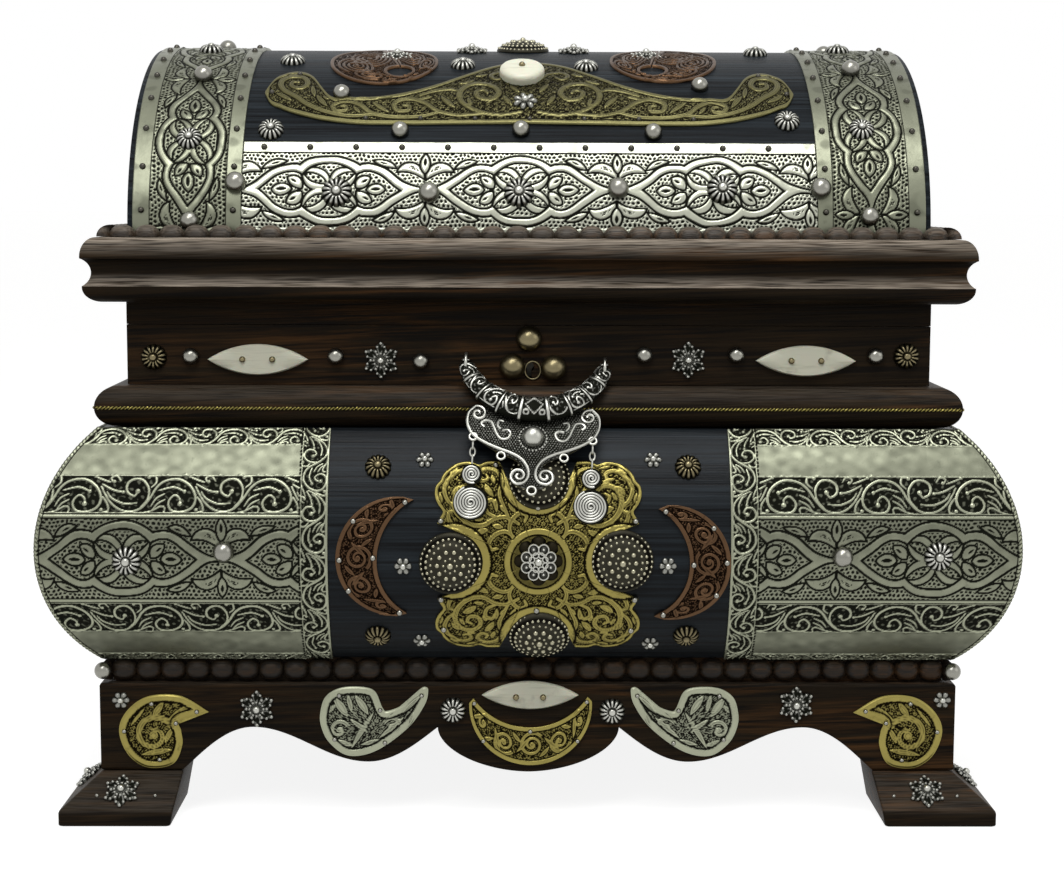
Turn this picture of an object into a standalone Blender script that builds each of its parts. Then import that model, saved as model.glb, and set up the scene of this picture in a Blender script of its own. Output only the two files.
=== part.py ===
"""Domed casket: a bombe case on four feet, a hinged lid with a barrel dome, a chest lock,
thin metal mounts bent over the curved wood, and a pendant that hangs from two staples.

All sizes are in metres. X runs to the right, Y to the back, Z up; the floor is Z = 0.
"""

import math

import bmesh
import bpy
from mathutils import Matrix, Vector

# Case and lid, outside sizes of the plain neck that everything else is measured from
NECK_WIDTH = 0.378
NECK_DEPTH = 0.250
BOARD = 0.014
GAP = 0.0003

# Heights of the layers, from the floor up
FOOT_HEIGHT = 0.022
APRON_HEIGHT = 0.042
BASE_BOARD = 0.0115
BELLY_HEIGHT = 0.109
WAIST_THICKNESS = 0.019
NECK_HEIGHT = 0.028
LID_RIM = 0.0107
CORNICE_HEIGHT = 0.030
DOME_RISE = 0.094

# How far each layer stands out past the neck
APRON_OUT = 0.0135
FOOT_SPLAY = 0.0172
BELLY_SEAT = 0.0106
BELLY_BULGE = 0.0254
BELLY_BOARD = 0.012
BELLY_BEARING = 0.0227
WAIST_OUT = 0.0134
CORNICE_OUT = 0.0178
DOME_INSET = 0.001

# Feet and scalloped aprons
TOE_HEIGHT = 0.007
LEG_WIDTH = 0.0388
ARCH_HEIGHT = 0.0207
ARCH_FROM_LEG = 0.0332
DROP_FROM_ARCH = 0.0545
DROP_HEIGHT = 0.0039
NOTCH_X = 0.043
CENTRE_DROP = 0.0216
CENTRE_POWER = 1.85

# Half round bead strips
BEAD_RADIUS = 0.0054
BEAD_WAIST = 0.0022
BEAD_PITCH = 0.0115

# Cornice profile
CORNICE_FLAT = 0.0115
CORNICE_ROLL = 0.007
CORNICE_ARRIS = 0.021
CORNICE_COVE = 0.004
CORNICE_FOOT = 0.0085

# Dome
DOME_SHELL = 0.010
END_PANEL = 0.012

# Thin metal
SHEET = 0.0007
PLATE = 0.0009
ARCH_BAND_REACH = 0.054
ARCH_BAND_WIDTH = 0.0505
FRONT_BAND_TOP = 0.0466
BAND_FOOT = 0.0004
CLADDING_SHARE = 0.5
CLADDING_MARGIN = 0.0006

# Brass plaque and bosses on the front of the belly, along the width and along the curve
PLAQUE_X = 0.0040
PLAQUE_S = -0.0040
PLAQUE_HALF = 0.047
PLAQUE_CORNER = 0.015
BOSS_REACH = 0.039
BOSS_RADIUS = 0.0144
BOSS_HEIGHT = 0.0057
BITE_RADIUS = 0.0136
ROSETTE_RADIUS = 0.0105
ROSETTE_HEIGHT = 0.0045

# Crescents on the front of the belly
CRESCENT_TIP_SHARE = 0.598
CRESCENT_TIP_S = 0.0265
CRESCENT_MID_S = -0.0035
CRESCENT_OUTER_SHARE = 0.328
CRESCENT_INNER_SHARE = 0.164

# Moustache plaque on the dome
MOUSTACHE_FROM_BAND = 0.008
MOUSTACHE_LOW = 0.0575
MOUSTACHE_TOP = 0.1165

# Bone almonds on the neck
ALMOND_FROM_END = 0.0605
ALMOND_LENGTH = 0.047
ALMOND_HEIGHT = 0.0142
ALMOND_DEPTH = 0.0030
ALMOND_Z = 0.0115

# Hinges
HINGE_FROM_END = 0.074
HINGE_LENGTH = 0.040
HINGE_LEAF = 0.0090
HINGE_SHEET = 0.0014
KNUCKLE_RADIUS = 0.0026
PIN_RADIUS = 0.0012
PIN_CLEARANCE = 0.00006
KNUCKLE_GAP = 0.0004

# Lock
LOCK_WIDTH = 0.046
LOCK_DEPTH = 0.011
LOCK_HEIGHT = 0.024
LOCK_DROP = 0.0012
BOLT_LENGTH = 0.016
BOLT_HEIGHT = 0.005
BOLT_DEPTH = 0.004
BOLT_CLEARANCE = 0.0004
BOLT_REST = 0.0012
TONGUE_THICKNESS = 0.0022
TONGUE_WIDTH = 0.0072
TONGUE_REACH = 0.0125
TONGUE_CLEARANCE = 0.0012
EYE_MARGIN = 0.0012
STRIKE_WIDTH = 0.030
STRIKE_HEIGHT = 0.018
STRIKE_SHEET = 0.0016
KEYHOLE_Z = 0.0085
KEYHOLE_RADIUS = 0.0024
KEYHOLE_SLOT = 0.0022
KEYHOLE_LENGTH = 0.0062

# Pendant and its two charms
PENDANT_X = 0.0027
PENDANT_Z = 0.0110
PENDANT_STANDOFF = 0.0036
PENDANT_TILT = 2.0
PENDANT_LEAN = 34.5
PENDANT_SPAN = 0.0325
STAPLE_HALF = 0.0040
STAPLE_WIRE = 0.0006
RING_MAJOR = 0.0024
RING_MINOR = 0.00065
RING_DROP = 0.00105
TUBE_START = 0.0030
TUBE_SAG = 0.0280
TUBE_RADIUS = 0.0062
TUBE_END_RADIUS = 0.0034
TUBE_FLATNESS = 0.64
TUBE_FORWARD = 0.0055
TUBE_END_FORWARD = 0.0012
PLATE_TAB = 0.0015
PENDANT_PLATE = 0.0020
PENDANT_LENGTH = 0.0665
LUG_X = 0.0275
LUG_DROP = 0.0410
LUG_MAJOR = 0.00175
LUG_MINOR = 0.0006
CHARM_LEAN = 16.0
CHARM_WIRE = 0.00055
CHARM_BIG = 0.0072
CHARM_SMALL = 0.0042
CHARM_BIG_DROP = 0.0282
CHARM_TURN = 0.00158
CHARM_EYE = 0.0016
LINK_HALF_WIDTH = 0.00135
LINK_TOP = 0.0010

# Levels that follow from the layers
APRON_Z0 = FOOT_HEIGHT + GAP
APRON_Z1 = APRON_Z0 + APRON_HEIGHT
BASE_Z0 = APRON_Z1 + GAP
BASE_Z1 = BASE_Z0 + BASE_BOARD
BELLY_Z0 = BASE_Z1 + GAP
BELLY_Z1 = BELLY_Z0 + BELLY_HEIGHT
WAIST_Z0 = BELLY_Z1 + GAP
WAIST_Z1 = WAIST_Z0 + WAIST_THICKNESS
NECK_Z0 = WAIST_Z1 + GAP
NECK_Z1 = NECK_Z0 + NECK_HEIGHT
LID_Z0 = NECK_Z1 + GAP
CORNICE_Z0 = LID_Z0 + LID_RIM
CORNICE_Z1 = CORNICE_Z0 + CORNICE_HEIGHT
DOME_Z0 = CORNICE_Z1 + GAP

HALF_W = NECK_WIDTH / 2
HALF_D = NECK_DEPTH / 2

# Places and lengths that follow the width of the neck
ARCH_BAND_INNER = HALF_W - ARCH_BAND_REACH
MOUSTACHE_HALF = ARCH_BAND_INNER - MOUSTACHE_FROM_BAND
CLADDING_INNER = HALF_W * CLADDING_SHARE
CRESCENT_TIP_X = CLADDING_INNER * CRESCENT_TIP_SHARE
CRESCENT_OUTER = CLADDING_INNER * CRESCENT_OUTER_SHARE
CRESCENT_INNER = CLADDING_INNER * CRESCENT_INNER_SHARE
ALMOND_X = HALF_W - ALMOND_FROM_END
HINGE_X = HALF_W - HINGE_FROM_END

# The belly section is an arc through its two seats and its widest point
BELLY_R = ((BELLY_HEIGHT / 2) ** 2 + BELLY_BULGE ** 2) / (2 * BELLY_BULGE)
BELLY_MID = (BELLY_Z0 + BELLY_Z1) / 2
BELLY_AXIS_OUT = BELLY_SEAT + BELLY_BULGE - BELLY_R
BELLY_ANGLE = math.asin(BELLY_HEIGHT / 2 / BELLY_R)
BELLY_STEPS = 16

# The dome section is half an ellipse
DOME_A = HALF_D - DOME_INSET
DOME_B = DOME_RISE
DOME_HALF_W = HALF_W - DOME_INSET
DOME_STEPS = 30
DOME_TABLE = 720

SIDES = {"front": (0, -1), "back": (0, 1), "left": (-1, 0), "right": (1, 0)}

FINISHES = {
    "stained_wood": ((0.060, 0.018, 0.012), 0.0, 0.45),
    "black_paint": ((0.006, 0.006, 0.007), 0.0, 0.40),
    "white_metal": ((0.62, 0.62, 0.63), 1.0, 0.35),
    "old_silver": ((0.36, 0.36, 0.37), 1.0, 0.40),
    "brass": ((0.55, 0.38, 0.13), 1.0, 0.38),
    "copper": ((0.48, 0.21, 0.12), 1.0, 0.40),
    "bone": ((0.72, 0.66, 0.50), 0.0, 0.40),
    "iron": ((0.10, 0.10, 0.10), 1.0, 0.50),
}


def clear_scene():
    """Takes every object out of the file that is open."""
    for item in list(bpy.data.objects):
        bpy.data.objects.remove(item)


def new_collection(name):
    """Makes an empty collection in the scene."""
    collection = bpy.data.collections.new(name)
    bpy.context.scene.collection.children.link(collection)
    return collection


def finish(name, kind):
    """One Principled material for one piece."""
    colour, metallic, roughness = FINISHES[kind]
    material = bpy.data.materials.new(name + "_" + kind)
    material.use_nodes = True
    shader = material.node_tree.nodes["Principled BSDF"]
    shader.inputs["Base Color"].default_value = (*colour, 1)
    shader.inputs["Metallic"].default_value = metallic
    shader.inputs["Roughness"].default_value = roughness
    material.diffuse_color = (*colour, 1)
    return material


def baked(item):
    """Mesh of an object as its modifiers leave it; the object itself goes."""
    bpy.context.scene.collection.objects.link(item)
    graph = bpy.context.evaluated_depsgraph_get()
    mesh = bpy.data.meshes.new_from_object(item.evaluated_get(graph))
    bpy.data.objects.remove(item)
    return mesh


def tidy(mesh, weld=1e-6):
    """Welds doubled points and turns every face outward."""
    work = bmesh.new()
    work.from_mesh(mesh)
    bmesh.ops.remove_doubles(work, verts=work.verts, dist=weld)
    bmesh.ops.recalc_face_normals(work, faces=work.faces)
    work.to_mesh(mesh)
    work.free()
    return mesh


def joined(meshes, weld):
    """One mesh from several whose open ends meet."""
    work = bmesh.new()
    for mesh in meshes:
        work.from_mesh(mesh)
    whole = bpy.data.meshes.new("joined")
    work.to_mesh(whole)
    work.free()
    return tidy(whole, weld)


def flat_mesh(loops, thickness):
    """Flat outlines in XY, the first outside and the rest holes, as thick as given along Z."""
    curve = bpy.data.curves.new("outline", "CURVE")
    curve.dimensions = "2D"
    curve.fill_mode = "BOTH"
    curve.extrude = thickness / 2
    for loop in loops:
        spline = curve.splines.new("POLY")
        spline.points.add(len(loop) - 1)
        for point, (u, v) in zip(spline.points, loop):
            point.co = (u, v, 0, 1)
        spline.use_cyclic_u = True
    return tidy(baked(bpy.data.objects.new("outline", curve)))


def tube_mesh(points, radius, sides, closed=False, swell=None):
    """Round tube along a line of points; swell scales the radius point by point."""
    curve = bpy.data.curves.new("tube", "CURVE")
    curve.dimensions = "3D"
    curve.bevel_depth = radius
    curve.bevel_resolution = sides
    curve.use_fill_caps = True
    spline = curve.splines.new("POLY")
    spline.points.add(len(points) - 1)
    for index, place in enumerate(points):
        spline.points[index].co = (*place, 1)
        spline.points[index].radius = swell[index] if swell else 1.0
    spline.use_cyclic_u = closed
    return tidy(baked(bpy.data.objects.new("tube", curve)))


def turned_mesh(profile, steps):
    """Turns a profile of (radius, height) points, listed from the top down, about Z."""
    mesh = bpy.data.meshes.new("profile")
    edges = [(i, i + 1) for i in range(len(profile) - 1)]
    mesh.from_pydata([(r, 0, z) for r, z in profile], edges, [])
    item = bpy.data.objects.new("profile", mesh)
    screw = item.modifiers.new("turn", "SCREW")
    screw.axis = "Z"
    screw.angle = 2 * math.pi
    screw.steps = steps
    screw.render_steps = steps
    screw.use_merge_vertices = True
    screw.merge_threshold = 1e-6
    return tidy(baked(item))


def closed_ends(mesh):
    """Fills the open ends of a turned shape."""
    work = bmesh.new()
    work.from_mesh(mesh)
    rim = [edge for edge in work.edges if edge.is_boundary]
    bmesh.ops.holes_fill(work, edges=rim, sides=0)
    work.to_mesh(mesh)
    work.free()
    return tidy(mesh)


def box_mesh(low, high):
    """Box between two corners."""
    work = bmesh.new()
    size = [b - a for a, b in zip(low, high)]
    middle = [(a + b) / 2 for a, b in zip(low, high)]
    place = Matrix.Translation(middle) @ Matrix.Diagonal((*size, 1))
    bmesh.ops.create_cube(work, size=1, matrix=place)
    mesh = bpy.data.meshes.new("box")
    work.to_mesh(mesh)
    work.free()
    return mesh


def ring_mesh(major, minor, around, section):
    """Torus about Z."""
    circle = [2 * math.pi * i / around for i in range(around)]
    points = [(major * math.cos(a), major * math.sin(a), 0) for a in circle]
    return tube_mesh(points, minor, section, closed=True)


def cylinder_mesh(radius, length, sides):
    """Cylinder about Z, centred."""
    work = bmesh.new()
    bmesh.ops.create_cone(work, cap_ends=True, segments=sides, radius1=radius, radius2=radius,
                          depth=length)
    mesh = bpy.data.meshes.new("cylinder")
    work.to_mesh(mesh)
    work.free()
    return mesh


def moved(mesh, matrix):
    """The mesh put through a matrix."""
    mesh.transform(matrix)
    return tidy(mesh)


def trimmed(mesh, point, normal, close=True):
    """Takes away what lies past a plane and, when asked, closes the cut."""
    work = bmesh.new()
    work.from_mesh(mesh)
    parts = work.verts[:] + work.edges[:] + work.faces[:]
    cut = bmesh.ops.bisect_plane(work, geom=parts, dist=1e-7, plane_co=point, plane_no=normal,
                                 clear_outer=True)
    if close:
        rim = [part for part in cut["geom_cut"] if isinstance(part, bmesh.types.BMEdge)]
        bmesh.ops.holes_fill(work, edges=rim, sides=0)
    work.to_mesh(mesh)
    work.free()
    return mesh


def sliced(mesh, axis, places):
    """Adds edge loops where a mesh crosses the given places, so that it can be bent there."""
    work = bmesh.new()
    work.from_mesh(mesh)
    normal = Vector((0, 0, 0))
    normal[axis] = 1
    for place in places:
        parts = work.verts[:] + work.edges[:] + work.faces[:]
        bmesh.ops.bisect_plane(work, geom=parts, dist=1e-7, plane_co=normal * place,
                               plane_no=normal)
    work.to_mesh(mesh)
    work.free()
    return mesh


def bent(mesh, rule):
    """Moves each point of a flat mesh by a rule that takes (along, up the curve, out)."""
    for point in mesh.vertices:
        point.co = rule(*point.co)
    return tidy(mesh)


def arc(centre, radius, start, end, steps, squash=1.0):
    """Points on an arc, both ends included, angles in radians; squash scales the second axis."""
    angles = [start + (end - start) * i / steps for i in range(steps + 1)]
    return [(centre[0] + radius * math.cos(a), centre[1] + radius * squash * math.sin(a))
            for a in angles]


def bowed(start, end, sagitta, steps):
    """Points on the arc from start to end that stands out by the sagitta on its left side."""
    chord = Vector(end) - Vector(start)
    half = chord.length / 2
    side = Vector((-chord.y, chord.x)).normalized()
    radius = (half ** 2 + sagitta ** 2) / (2 * abs(sagitta))
    sign = 1 if sagitta > 0 else -1
    middle = (Vector(start) + Vector(end)) / 2 - side * sign * (radius - abs(sagitta))
    first = math.atan2(start[1] - middle.y, start[0] - middle.x)
    sweep = 2 * math.asin(min(1.0, half / radius))
    if abs(sagitta) > radius:
        sweep = 2 * math.pi - sweep
    return arc(middle, radius, first, first - sign * sweep, steps)


def smooth_loop(points, steps):
    """Closed curve through the points, each stretch a cubic set by its neighbours."""
    count = len(points)
    loop = []
    for index in range(count):
        a, b, c, d = (Vector(points[(index + k - 1) % count]) for k in range(4))
        for step in range(steps):
            t = step / steps
            place = 0.5 * (2 * b + (c - a) * t + (2 * a - 5 * b + 4 * c - d) * t * t
                           + (3 * b - a - 3 * c + d) * t ** 3)
            loop.append((place.x, place.y))
    return loop


def mirrored(half):
    """Closed outline from its right half, listed from the top down, both ends on the middle line."""
    return half + [(-u, v) for u, v in reversed(half[1:-1])]


class Builder:
    """Keeps the collections and the rest places of the pivots, and adds named pieces."""

    def __init__(self):
        self.parts = new_collection("domed_casket")
        self.cutters = new_collection("cutters")
        self.rest = {}

    def pivot(self, name, matrix, parent=None):
        """Empty on the axis that a moving piece turns about or slides along."""
        item = bpy.data.objects.new(name, None)
        item.empty_display_size = 0.02
        self.parts.objects.link(item)
        self.rest[name] = matrix
        self.attach(item, parent)
        item.matrix_world = matrix
        return item

    def attach(self, item, parent):
        """Hangs a piece on a pivot and leaves it where it is."""
        if parent:
            item.parent = parent
            item.matrix_parent_inverse = self.rest[parent.name].inverted()

    def add(self, name, mesh, kind, parent=None):
        """A named piece with its own material."""
        item = bpy.data.objects.new(name, mesh)
        mesh.name = name
        mesh.materials.clear()
        mesh.materials.append(finish(name, kind))
        self.parts.objects.link(item)
        self.attach(item, parent)
        return item

    def cut(self, target, mesh, operation="DIFFERENCE"):
        """Boolean with a cutter that is kept out of sight."""
        cutter = bpy.data.objects.new(target.name + "_cutter", mesh)
        cutter.display_type = "WIRE"
        cutter.hide_render = True
        self.cutters.objects.link(cutter)
        self.attach(cutter, target.parent)
        change = target.modifiers.new("cut", "BOOLEAN")
        change.operation = operation
        change.solver = "EXACT"
        change.object = cutter


def side_axes(side):
    """Outward and lengthwise directions of a side, and its half sizes that way."""
    out = Vector((*SIDES[side], 0))
    along = out.cross(Vector((0, 0, 1)))
    reach = HALF_D if out.y else HALF_W
    half = HALF_W if out.y else HALF_D
    return out, along, reach, half


def side_matrix(side):
    """Takes (out past the neck, height, along) of a side into the shared frame."""
    out, along, reach, _ = side_axes(side)
    turn = Matrix((out, (0, 0, 1), along)).transposed().to_4x4()
    return Matrix.Translation(out * reach) @ turn


def mitre(mesh, side, end, close=True, back_off=GAP / 2):
    """Cuts one end of a run at 45 degrees; end is +1 or -1 along the side."""
    out, along, reach, half = side_axes(side)
    normal = (along * end - out).normalized()
    corner = out * reach + along * end * half
    return trimmed(mesh, corner - normal * back_off, normal, close)


def run_mesh(outline, side, close=True, back_off=GAP / 2):
    """A moulding or board of one section along a side, mitred at both ends."""
    _, _, _, half = side_axes(side)
    mesh = moved(flat_mesh([outline], 2 * half + 0.16), side_matrix(side))
    for end in (1, -1):
        mesh = mitre(mesh, side, end, close, back_off)
    return tidy(mesh)


def belly_arc(offset, angle=BELLY_ANGLE, steps=BELLY_STEPS):
    """Section points (out past the neck, height) on the belly curve, from the top down."""
    return arc((BELLY_AXIS_OUT, BELLY_MID), BELLY_R + offset, angle, -angle, steps)


def on_belly(x, s, n):
    """Place on the front of the belly: along X, s up the curve from its middle, n out."""
    a = s / BELLY_R
    radius = BELLY_R + n
    return (x, -(HALF_D + BELLY_AXIS_OUT + radius * math.cos(a)), BELLY_MID + radius * math.sin(a))


def belly_frame(x, s, n):
    """Matrix with Z along the outward normal of the belly at that place."""
    a = s / BELLY_R
    turn = Matrix(((1, 0, 0), (0, math.sin(a), math.cos(a)), (0, -math.cos(a), math.sin(a))))
    return Matrix.Translation(on_belly(x, s, n)) @ turn.transposed().to_4x4()


def dome_place(t, n):
    """Section point (y, z) of the dome at ellipse angle t, n out along the normal."""
    normal = Vector((-math.cos(t) / DOME_A, math.sin(t) / DOME_B)).normalized()
    return (-DOME_A * math.cos(t) + normal.x * n, DOME_Z0 + DOME_B * math.sin(t) + normal.y * n)


def dome_lengths():
    """Arc length from the front foot of the dome at equal steps of the ellipse angle."""
    lengths = [0.0]
    for i in range(1, DOME_TABLE + 1):
        a = Vector(dome_place(math.pi * (i - 1) / DOME_TABLE, 0))
        b = Vector(dome_place(math.pi * i / DOME_TABLE, 0))
        lengths.append(lengths[-1] + (b - a).length)
    return lengths


DOME_LENGTHS = dome_lengths()


def dome_angle(s):
    """Ellipse angle at arc length s from the front foot of the dome."""
    i = 0
    while i < DOME_TABLE - 1 and DOME_LENGTHS[i + 1] < s:
        i += 1
    share = (s - DOME_LENGTHS[i]) / (DOME_LENGTHS[i + 1] - DOME_LENGTHS[i])
    return math.pi * (i + share) / DOME_TABLE


def on_dome(x, s, n):
    """Place on the dome: along X, s up from the front foot, n out."""
    y, z = dome_place(dome_angle(s), n)
    return (x, y, z)


def dome_section(t0, t1, low, high, steps):
    """Closed section between two offsets of the dome curve."""
    angles = [t0 + (t1 - t0) * i / steps for i in range(steps + 1)]
    return ([dome_place(t, high) for t in angles]
            + [dome_place(t, low) for t in reversed(angles)])


def along_x(section, x0, x1):
    """Solid of a (y, z) section between two places along X."""
    turn = Matrix(((0, 0, 1), (1, 0, 0), (0, 1, 0))).to_4x4()
    return moved(flat_mesh([section], x1 - x0), Matrix.Translation(((x0 + x1) / 2, 0, 0)) @ turn)


def rectangle(u0, u1, v0, v1):
    """Four corners."""
    return [(u0, v0), (u1, v0), (u1, v1), (u0, v1)]


def apron_edge(half):
    """Lower edge of an apron from its right leg to the middle line, as (along, height)."""
    leg = half + APRON_OUT - LEG_WIDTH
    arch = leg - ARCH_FROM_LEG
    drop = arch - DROP_FROM_ARCH
    top = APRON_Z0 + ARCH_HEIGHT
    points = [(leg - ARCH_FROM_LEG * i / 6, APRON_Z0 + ARCH_HEIGHT * math.sin(math.pi * i / 12))
              for i in range(7)]
    if drop > NOTCH_X:
        low = APRON_Z0 + DROP_HEIGHT
        points += [(arch - DROP_FROM_ARCH * i / 8,
                    (top + low) / 2 + (top - low) / 2 * math.cos(math.pi * i / 8))
                   for i in range(1, 9)]
        points += [(drop - (drop - NOTCH_X) * i / 6,
                    low + (top - low) * (1 - math.cos(math.pi * i / 12))) for i in range(1, 7)]
    else:
        points.append((NOTCH_X, top))
    for i in range(1, 11):
        x = NOTCH_X * math.cos(math.pi * i / 20)
        depth = (1 - (x / NOTCH_X) ** CENTRE_POWER) ** (1 / CENTRE_POWER)
        points.append((x, top - CENTRE_DROP * depth))
    return points


def apron_outline(half):
    """Outline of an apron board as (height, along), longer than its mitred ends."""
    edge = apron_edge(half)
    end = half + APRON_OUT + BOARD
    right = [(end, APRON_Z1), (end, APRON_Z0)] + edge
    left = [(-x, z) for x, z in reversed(right[:-1])]
    return [(z, x) for x, z in right + left]


def apron_mesh(side):
    """Scalloped board with mitred ends and two legs."""
    out, along, reach, half = side_axes(side)
    flat = flat_mesh([apron_outline(half)], BOARD)
    turn = Matrix(((0, 0, 1), along, out)).transposed().to_4x4()
    mesh = moved(flat, Matrix.Translation(out * (reach + APRON_OUT - BOARD / 2)) @ turn)
    for end in (1, -1):
        mesh = mitre(mesh, side, end)
    return tidy(mesh)


def foot_mesh(sx, sy):
    """Block with an upright toe and two slopes that meet the corner of the apron above."""
    inner = Vector((HALF_W + APRON_OUT - LEG_WIDTH, HALF_D + APRON_OUT - LEG_WIDTH))
    top = Vector((HALF_W + APRON_OUT, HALF_D + APRON_OUT))
    toe = top + Vector((FOOT_SPLAY, FOOT_SPLAY))
    mesh = box_mesh((inner.x, inner.y, 0), (toe.x, toe.y, FOOT_HEIGHT))
    rise = FOOT_HEIGHT - TOE_HEIGHT
    mesh = trimmed(mesh, (top.x, 0, FOOT_HEIGHT), (rise, 0, FOOT_SPLAY))
    mesh = trimmed(mesh, (0, top.y, FOOT_HEIGHT), (0, rise, FOOT_SPLAY))
    return moved(mesh, Matrix.Diagonal((sx, sy, 1, 1)))


def bead_profile(corner):
    """Radius along a string of beads whose grooves fall on both corners."""
    count = round(2 * corner / BEAD_PITCH)
    pitch = 2 * corner / count
    profile = []
    for i in range(count + 2):
        start = corner + pitch - pitch * i
        profile += [(BEAD_WAIST, start), (BEAD_RADIUS, start - pitch * 0.3),
                    (BEAD_RADIUS, start - pitch * 0.7)]
    profile.append((BEAD_WAIST, -corner - pitch))
    return profile


def bead_ring(out, height, flat_side):
    """Four half round bead strips round the object, one body; flat_side is out or up."""
    strips = []
    for side in SIDES:
        _, _, _, half = side_axes(side)
        string = closed_ends(turned_mesh(bead_profile(half + out), 8))
        flat = (1, 0, 0) if flat_side == "out" else (0, 1, 0)
        string = trimmed(string, (0, 0, 0), [-part for part in flat])
        strip = moved(string, side_matrix(side) @ Matrix.Translation((out, height, 0)))
        for end in (1, -1):
            strip = mitre(strip, side, end, close=False, back_off=0)
        strips.append(strip)
    return joined(strips, 9e-5)


def waist_outline():
    """Board with a half round nose."""
    radius = WAIST_THICKNESS / 2
    nose = arc((WAIST_OUT - radius, WAIST_Z0 + radius), radius, -math.pi / 2, math.pi / 2, 12)
    return [(-BOARD, WAIST_Z0)] + nose + [(-BOARD, WAIST_Z1)]


def cornice_outline():
    """Two rolls with a cove between them."""
    z0 = CORNICE_Z0
    lower_out = CORNICE_OUT - 0.0008
    roll = arc((CORNICE_FOOT, z0 + CORNICE_ROLL), lower_out - CORNICE_FOOT, -math.pi / 2, 0, 6,
               CORNICE_ROLL / (lower_out - CORNICE_FOOT))
    cove = bowed((lower_out, z0 + CORNICE_ROLL + 0.0006), (CORNICE_OUT, z0 + CORNICE_ARRIS - 0.0006),
                 CORNICE_COVE, 8)
    crown = CORNICE_OUT - CORNICE_FLAT
    nose = arc((CORNICE_FLAT, z0 + CORNICE_ARRIS), crown, 0, math.pi / 2, 6,
               (CORNICE_HEIGHT - CORNICE_ARRIS) / crown)
    return [(GAP, z0)] + roll + cove + nose + [(GAP, CORNICE_Z1)]


def cladding_mesh(sx):
    """Thin sheet over one end of the belly, carried round both corners."""
    angle = BELLY_ANGLE - CLADDING_MARGIN / BELLY_R
    strip = belly_arc(GAP + SHEET, angle) + list(reversed(belly_arc(GAP, angle)))
    end = "left" if sx < 0 else "right"
    runs = []
    for side in ("front", end, "back"):
        _, along, _, half = side_axes(side)
        mesh = moved(flat_mesh([strip], 2 * half + 0.16), side_matrix(side))
        if side == end:
            for way in (1, -1):
                mesh = mitre(mesh, side, way, close=False, back_off=0)
        else:
            way = 1 if along.x * sx > 0 else -1
            mesh = mitre(mesh, side, way, close=False, back_off=0)
            mesh = trimmed(mesh, (sx * CLADDING_INNER, 0, 0), (-sx, 0, 0))
        runs.append(mesh)
    return joined(runs, 2e-5)


def plaque_outline():
    """Square with round corners and a round bite in the middle of each side."""
    half, corner = PLAQUE_HALF, PLAQUE_CORNER
    open_half = math.acos((half - BOSS_REACH) / BITE_RADIUS)
    loop = []
    for quarter in range(4):
        turn = math.pi / 2 * quarter
        side = arc((BOSS_REACH, 0), BITE_RADIUS, -open_half, open_half - 2 * math.pi, 14)
        side += arc((half - corner, half - corner), corner, 0, math.pi / 2, 6)
        loop += [(x * math.cos(turn) - y * math.sin(turn), x * math.sin(turn) + y * math.cos(turn))
                 for x, y in side]
    return loop


def dome_boss(radius, height, skirt):
    """Low dome with a rim that reaches down by the skirt."""
    cap = [(radius * math.sin(a), height * math.cos(a)) for a in
           (0.0, 0.45, 0.85, 1.2, math.pi / 2)]
    cap[0] = (0.0, height)
    return closed_ends(turned_mesh(cap + [(radius, -skirt)], 16))


def bent_plate(loop, rule, thickness, step):
    """Flat outline made into a plate and bent on a curved surface by a rule."""
    mesh = flat_mesh([loop], thickness)
    low = min(v for _, v in loop)
    high = max(v for _, v in loop)
    count = max(1, round((high - low) / step))
    mesh = sliced(mesh, 1, [low + (high - low) * i / count for i in range(1, count)])
    return bent(mesh, lambda x, s, n: rule(x, s, GAP + thickness / 2 + n))


def crescent_loop(sx):
    """Crescent with its horns to the middle of the casket."""
    tip = sx * CRESCENT_TIP_X + PLAQUE_X / 2
    low, high = CRESCENT_MID_S - CRESCENT_TIP_S, CRESCENT_MID_S + CRESCENT_TIP_S
    outer = bowed((tip, high), (tip, low), sx * CRESCENT_OUTER, 16)
    inner = bowed((tip, low), (tip, high), -sx * CRESCENT_INNER, 12)
    return outer[:-1] + inner[:-1]


def moustache_loop():
    """Plaque with curled ends and a raised middle, as (along, up the curve)."""
    w, low, top = MOUSTACHE_HALF, MOUSTACHE_LOW, MOUSTACHE_TOP
    right = [(0, top), (0.11 * w, 0.94 * top), (0.23 * w, 0.86 * top), (0.34 * w, 0.775 * top),
             (0.49 * w, 0.695 * top), (0.68 * w, 0.665 * top), (0.775 * w, 0.69 * top),
             (0.80 * w, 0.80 * top), (0.89 * w, 0.868 * top), (0.975 * w, 0.80 * top),
             (w, 0.69 * top), (0.94 * w, 0.595 * top), (0.81 * w, low + 0.005), (0.6 * w, low),
             (0.3 * w, low + 0.0005), (0, low + 0.001)]
    return smooth_loop(mirrored(right), 3)


def almond_mesh(x):
    """Bone almond that stands on the face of the neck."""
    tip = ALMOND_LENGTH / 2
    edge = bowed((-tip, 0), (tip, 0), ALMOND_HEIGHT / 2, 10)
    loop = edge[:-1] + [(-u, -v) for u, v in edge[:-1]]
    turn = Matrix(((1, 0, 0), (0, 0, -1), (0, 1, 0))).to_4x4()
    place = (x, -HALF_D - GAP - ALMOND_DEPTH / 2, NECK_Z0 + ALMOND_Z)
    return moved(flat_mesh([loop], ALMOND_DEPTH), Matrix.Translation(place) @ turn)


def hinge_point():
    """Hinge axis behind the split between case and lid."""
    return Vector((0, HALF_D + GAP + KNUCKLE_RADIUS, (NECK_Z1 + LID_Z0) / 2))


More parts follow.
